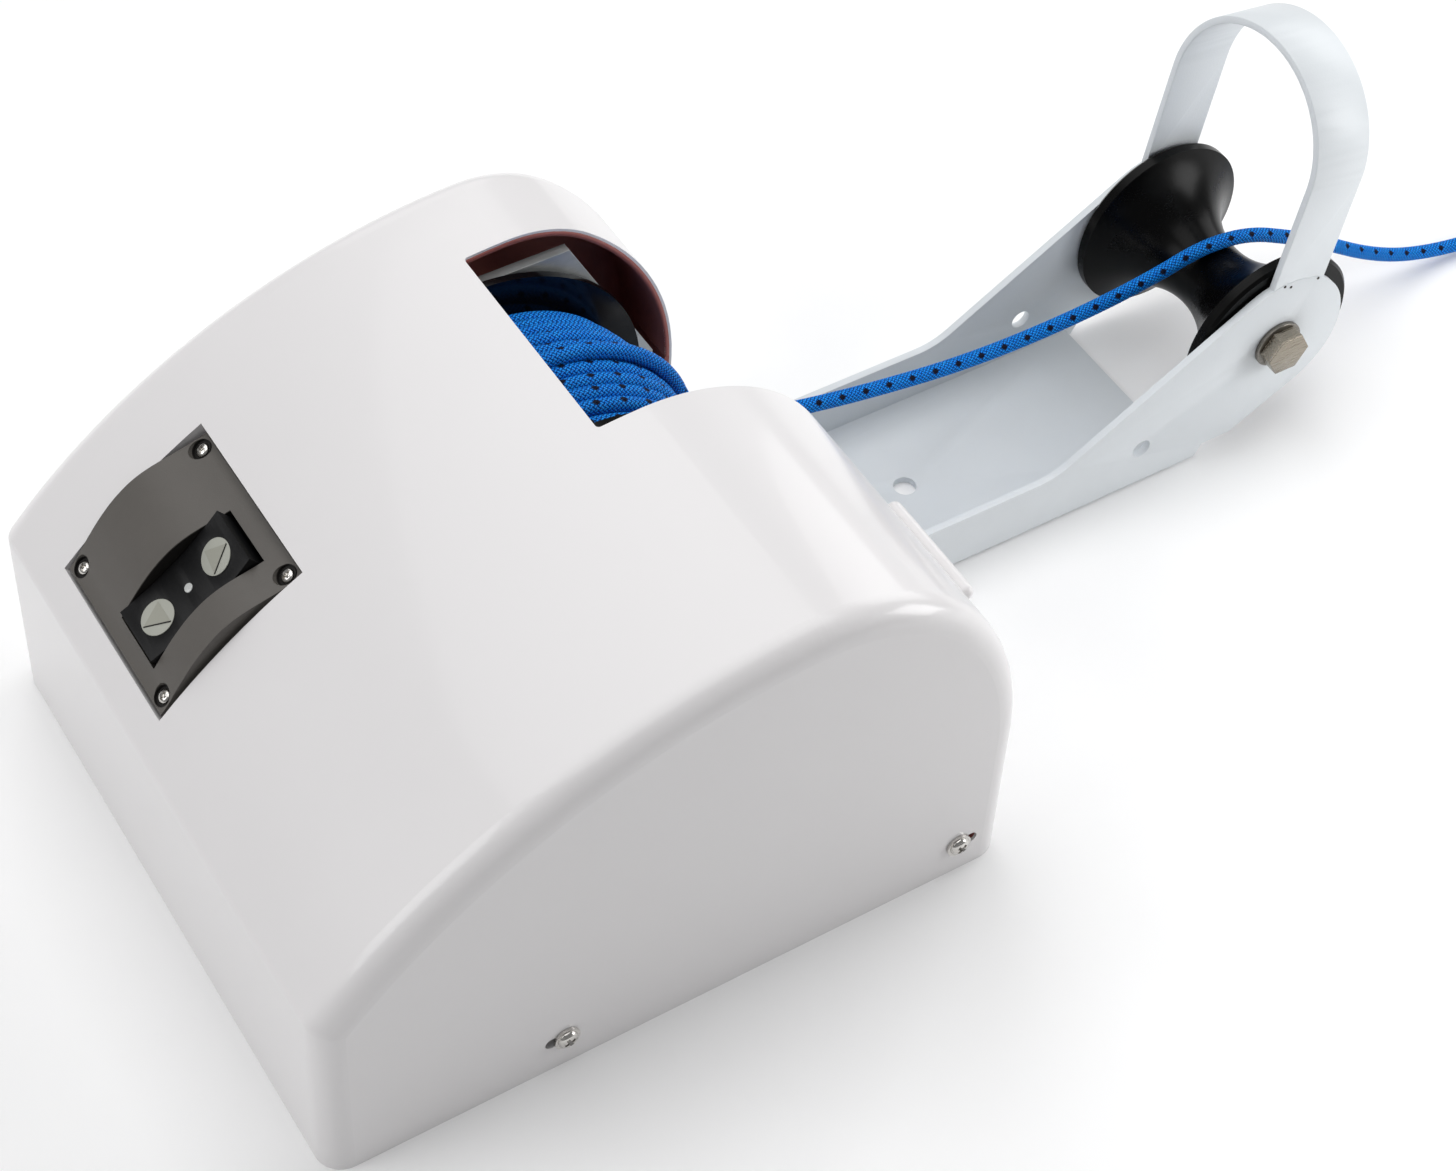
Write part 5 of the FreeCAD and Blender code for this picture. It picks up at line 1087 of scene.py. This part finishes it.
@dataclass
class ControlPanel:
    """The panel's broad wave, its sunk screws and the arrows on the rocker's discs.

    The panel's own frame has X up the slope, Y across it and Z outwards.
    """

    centre: Vector = Vector((-97.45, 47.0, 111.84)) * MM
    slope: float = 38.19
    length: float = 67.8 * MM
    width: float = 74.0 * MM
    floor: float = -6.2 * MM
    wave: tuple[float, ...] = (-0.4, 0.6, 2.3, 3.8, 5.2, 6.3, 7.1, 7.4, 7.2, 6.2, 4.5, 2.3, 0.1, -1.9, -3.6)
    wave_steps: int = 56
    way_x: float = 26.4 * MM
    way_y: float = 12.9 * MM
    skirt: float = 0.08 * MM
    rocker_lift: float = 4.0 * MM
    screw: Screw = Screw(head=2.7 * MM, crown=1.5 * MM, shank=2.0 * MM, length=4.0 * MM)
    sink_depth: float = 1.7 * MM
    sink_radius: float = 3.9 * MM
    disc_reach: float = 6.2 * MM
    aims: Outline = ((-0.54, -0.84), (0.41, -0.91))
    arrow: Outline = ((0.42, 0.88), (0.42, -0.88), (-0.93, 0.0))
    bar: Outline = ((0.46, 0.86), (0.46, -0.86), (0.39, -0.9), (0.39, 0.9))

    def __post_init__(self) -> None:
        """Find the panel's own frame, the screws' seats and the middle of the switch's way."""
        self.place = Matrix.Translation(self.centre) @ Matrix.Rotation(math.radians(-self.slope), 4, "Y")
        to_local = self.place.inverted()
        spots = [(low + high) / 2 for low, high in loose_boxes("panel_screws", to_local)]
        self.seats = [self.place @ Matrix.Translation((spot.x, spot.y, self.height(spot.x) - self.sink_depth))
                      for spot in spots]
        discs = extent([to_local @ vert.co for vert in frame["nodes"]["rocker_discs"].data.vertices])
        self.middle = (discs[0].y + discs[1].y) / 2

    def build(self) -> None:
        """Make the panel, its screws and the rocker's dressing."""
        self.make_wave()
        self.make_shades()
        screws = self.screw.fitted("panel_screws_domed", self.seats)
        piece = new_piece("panel_screws_domed", screws, CHROME, Body.FRAME)
        eased(piece, 0.08 * MM)
        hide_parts("panel_screws")
        self.make_rocker()

    def height(self, x: float) -> float:
        """The wave's height in the panel's own frame.

        Args:
            x: how far up the slope from the panel's middle.

        Returns:
            The height.
        """
        last = len(self.wave) - 1
        spot = min(max(x / self.length + 0.5, 0.0), 1.0) * last
        index = min(int(spot), last - 1)
        part = spot - index
        before, after = self.wave[index], self.wave[index + 1]
        entry = (after - self.wave[max(index - 1, 0)]) / 2
        leave = (self.wave[min(index + 2, last)] - before) / 2
        curve = (before * (2 * part ** 3 - 3 * part ** 2 + 1) + entry * (part ** 3 - 2 * part ** 2 + part)
                 + after * (3 * part ** 2 - 2 * part ** 3) + leave * (part ** 3 - part ** 2))
        return curve * MM

    def sheet(self) -> BMesh:
        """The waved sheet, thickened down to the tray, with the switch's way left open.

        Returns:
            The solid, which the caller frees.
        """
        across = [-self.width / 2, self.middle - self.way_y, self.middle + self.way_y, self.width / 2]
        steps = [self.length * (i / self.wave_steps - 0.5) for i in range(self.wave_steps + 1)]
        along = sorted([-self.way_x, self.way_x] + steps)
        work = bmesh.new()
        rows = [[work.verts.new((x, y, self.height(x))) for y in across] for x in along]
        for i in range(len(along) - 1):
            in_way = abs(along[i] + along[i + 1]) / 2 < self.way_x
            for j in (0, 2) if in_way else (0, 1, 2):
                work.faces.new((rows[i][j], rows[i + 1][j], rows[i + 1][j + 1], rows[i][j + 1]))
        grown = bmesh.ops.extrude_face_region(work, geom=list(work.faces))["geom"]
        for item in grown:
            if isinstance(item, BMVert):
                item.co.z = self.floor
        bmesh.ops.recalc_face_normals(work, faces=work.faces)
        return work

    def make_wave(self) -> None:
        """Make the moulded wave with its switch way and screw sinks."""
        rim, deep = self.sink_radius, 0.3 * MM
        profile = [(0.0, 6 * MM), (rim * 1.1, 6 * MM), (rim, 0.0), (rim * 0.95, -deep), (0.0, -deep)]
        sinks = gathered("panel_sinks", [(turned(profile, ROUND), seat) for seat in self.seats])
        body = carved(gathered("panel_wave", [(self.sheet(), self.place)]), sinks)
        piece = new_piece("control_panel_wave", body, PANEL, Body.FRAME)
        eased(piece, 0.35 * MM)
        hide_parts("control_panel")

    def make_shades(self) -> None:
        """Paint shade into the screw sinks and along both long edges of the switch's way."""
        wall, inner, deep = self.sink_radius * 1.01, self.sink_radius * 0.97, -0.3 * MM
        # Painted shade: a near black cup inside each screw sink.
        cup = [(0.0, 0.1 * MM), (inner, 0.1 * MM), (inner, 1.2 * MM), (wall, 1.2 * MM), (wall, deep), (0.0, deep)]
        cups = gathered("panel_sink_shades", [(turned(cup, ROUND), seat) for seat in self.seats])
        new_piece("panel_sink_shades", cups, SINK, Body.FRAME)
        # Painted shade: a near black skirt along each long edge of the switch's way.
        sides = [(self.way_side(side), self.place) for side in (-1, 1)]
        new_piece("switch_way_shades", gathered("switch_way_shades", sides), SINK, Body.FRAME)

    def way_side(self, side: int) -> BMesh:
        """A dark skirt of painted shade on one long side of the switch's way, a little below the wave.

        Args:
            side: -1 for the near side, 1 for the far side.

        Returns:
            The solid, which the caller frees.
        """
        y, inset = self.middle + side * self.way_y, side * self.skirt
        rings = []
        for step in range(41):
            x = self.way_x * (step / 20 - 1)
            top = self.height(x) - 0.45 * MM
            rings.append([(x, y - inset, self.floor), (x, y - inset, top), (x, y + inset, top),
                          (x, y + inset, self.floor)])
        return lofted(rings)

    def make_rocker(self) -> None:
        """Bring the rocker out to the wave, with a faint arrow on each of its discs."""
        uphill, out = self.place.col[0].xyz, self.place.col[2].xyz
        lift = out * self.rocker_lift
        softened("rocker_switch", 0.5 * MM, lift)
        softened("rocker_lamp", 0.2 * MM, lift)
        mesh = softened("rocker_discs", 0.1 * MM, lift).data
        faces = sorted((face for face in mesh.polygons if face.normal.dot(out) > 0.7), key=lambda face: face.center.x)
        split = sum(face.center.x for face in faces) / len(faces)
        arrows, bars = [], []
        for aim, side in zip(self.aims, (-1, 1)):
            own = [face for face in faces if (face.center.x - split) * side > 0]
            low, high = extent([mesh.vertices[i].co for face in own for i in face.vertices])
            normal = own[0].normal.copy()
            up = (uphill - normal * uphill.dot(normal)).normalized()
            head = up * aim[0] + normal.cross(up) * aim[1]
            place = Matrix((head, normal.cross(head), normal)).transposed().to_4x4()
            place.translation = (low + high) / 2
            arrows.append((self.plate(self.arrow, 0.12 * MM), place))
            bars.append((self.plate(self.bar, 0.2 * MM), place))
        new_piece("disc_arrows", gathered("disc_arrows", arrows), ARROW, Body.ROCKER)
        new_piece("disc_lines", gathered("disc_lines", bars), SINK, Body.ROCKER)

    def plate(self, outline: Outline, thickness: float) -> BMesh:
        """A thin plate that stands on a disc.

        Args:
            outline: its corners, in shares of the disc's reach.
            thickness: how far it stands out, and in.

        Returns:
            The solid, which the caller frees.
        """
        reach = self.disc_reach
        return lofted([[(x * reach, y * reach, z) for x, y in outline] for z in (-thickness, thickness)])


@dataclass
class CoverDetail:
    """The cover's brown lining, its side screws and the weld spatter on the bow bracket."""

    wall: float = 3.0 * MM
    lip: float = 2.0 * MM
    proud: float = 0.06 * MM
    lined_from: float = -50 * MM
    heart: Vector = Vector((0.0, 0.0, 3.0)) * MM
    opening_low: Vector = Vector((20, -20, 95)) * MM
    opening_high: Vector = Vector((170, 100, 175)) * MM
    screw: Screw = Screw(head=3.9 * MM, crown=2.5 * MM, shank=2.0 * MM, length=6.0 * MM)
    screw_proud: float = 2.6 * MM
    spatter: Outline = ((341.8, 83.2), (345.1, 81.6), (359.0, 80.0))
    spatter_face: float = -6.0 * MM

    def build(self) -> None:
        """Line the cover, fit its screws and spatter the weld."""
        self.make_lining()
        self.make_screws()
        dome = [(radius * 0.6 * MM, height * 0.4 * MM) for radius, height in PAN_HEAD] + [(0.0, -0.2 * MM)]
        seats = [seated(Vector((x * MM, self.spatter_face, z * MM)), 90) for x, z in self.spatter]
        beads = gathered("weld_spatter", [(turned(dome, 12), seat) for seat in seats])
        new_piece("weld_spatter", beads, WELD, Body.FRAME)

    def make_lining(self) -> None:
        """Line the cover's inner faces, and the inner part of the drum opening's lip."""
        work = merged(frame["nodes"]["cover"].data)
        tree = BVHTree.FromBMesh(work)
        outer = [face for face in work.faces if not self.is_inner(face, tree)]
        bmesh.ops.delete(work, geom=outer, context="FACES")
        loose = [vert for vert in work.verts if not vert.link_faces]
        bmesh.ops.delete(work, geom=loose, context="VERTS")
        shifts = self.lip_shifts(work)
        for vert in work.verts:
            vert.co += vert.normal * self.proud
        for vert, shift in shifts.items():
            vert.co += shift.normalized() * self.proud
        bmesh.ops.solidify(work, geom=list(work.faces), thickness=self.lip)
        mesh = bpy.data.meshes.new("cover_lining")
        work.to_mesh(mesh)
        work.free()
        new_piece("cover_lining", mesh, LINER, Body.FRAME)

    def is_inner(self, face: BMFace, tree: BVHTree) -> bool:
        """Whether a face of the cover looks inwards, with the cover's wall behind it.

        Args:
            face: the face.
            tree: the whole cover.

        Returns:
            True for a face that is lined.
        """
        spot = face.calc_center_median()
        hit = tree.ray_cast(spot - face.normal * self.proud, -face.normal, 2 * self.wall)
        inward = (self.heart - spot).dot(face.normal) > 0
        return inward and spot.x >= self.lined_from and hit[0] is not None and hit[3] <= 1.9 * self.wall

    def lip_shifts(self, work: BMesh) -> dict[BMVert, Vector]:
        """Which way the lining's edge goes to wrap the drum opening's lip.

        Args:
            work: the lining's faces.

        Returns:
            A direction for each corner on the lip.
        """
        shifts = {}
        for edge in work.edges:
            if not edge.is_boundary:
                continue
            face = edge.link_faces[0]
            first, second = edge.verts
            aside = (second.co - first.co).cross(face.normal).normalized()
            if aside.dot(face.calc_center_median() - first.co) > 0:
                aside.negate()
            for vert in edge.verts:
                if all(self.opening_low[i] < vert.co[i] < self.opening_high[i] for i in range(3)):
                    shifts[vert] = shifts.get(vert, Vector()) + aside
        return shifts

    def make_screws(self) -> None:
        """Stand domed cross-recess screws in for the cover's plain ones."""
        places = []
        for low, high in loose_boxes("cover_screws", Matrix()):
            side = 1 if low.y > 0 else -1
            tip = high.y if side > 0 else low.y
            seat = Vector(((low.x + high.x) / 2, tip - side * self.screw_proud, (low.z + high.z) / 2))
            places.append(seated(seat, -90 * side))
        mesh = self.screw.fitted("cover_screws_domed", places)
        piece = new_piece("cover_screws_domed", mesh, CHROME, Body.FRAME)
        eased(piece, 0.1 * MM)
        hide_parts("cover_screws")


@dataclass
class Castings:
    """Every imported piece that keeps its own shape, with its edges eased where light catches them."""

    ease: float = 0.35 * MM
    shown: tuple[str, ...] = (
        "davit_channel", "hoop_guard", "switch_housing", "far_bracket", "roller_bolt", "roller_washers",
        "roller_nut",
    )

    def build(self) -> None:
        """Give every node its finish, and ease the edges of those that show most."""
        for node, finish in FINISH_OF.items():
            mesh = frame["nodes"][node].data
            for index in range(len(mesh.materials)):
                mesh.materials[index] = finish.material()
        for node in self.shown:
            softened(node, self.ease)


def main() -> None:
    """Build the stage, the rope and every dressed piece, in order."""
    logging.basicConfig(level=logging.INFO, format="%(name)s %(message)s")
    Stage().build()
    for build in (build_mottle, build_peel, build_scratches, build_braid):
        build()
    rope = AnchorRope()
    for piece in (rope, Castings(), ControlPanel(), CoverDetail(), Drum(rope)):
        LOG.info("building %s", type(piece).__name__)
        piece.build()


if __name__ == "__main__":
    main()
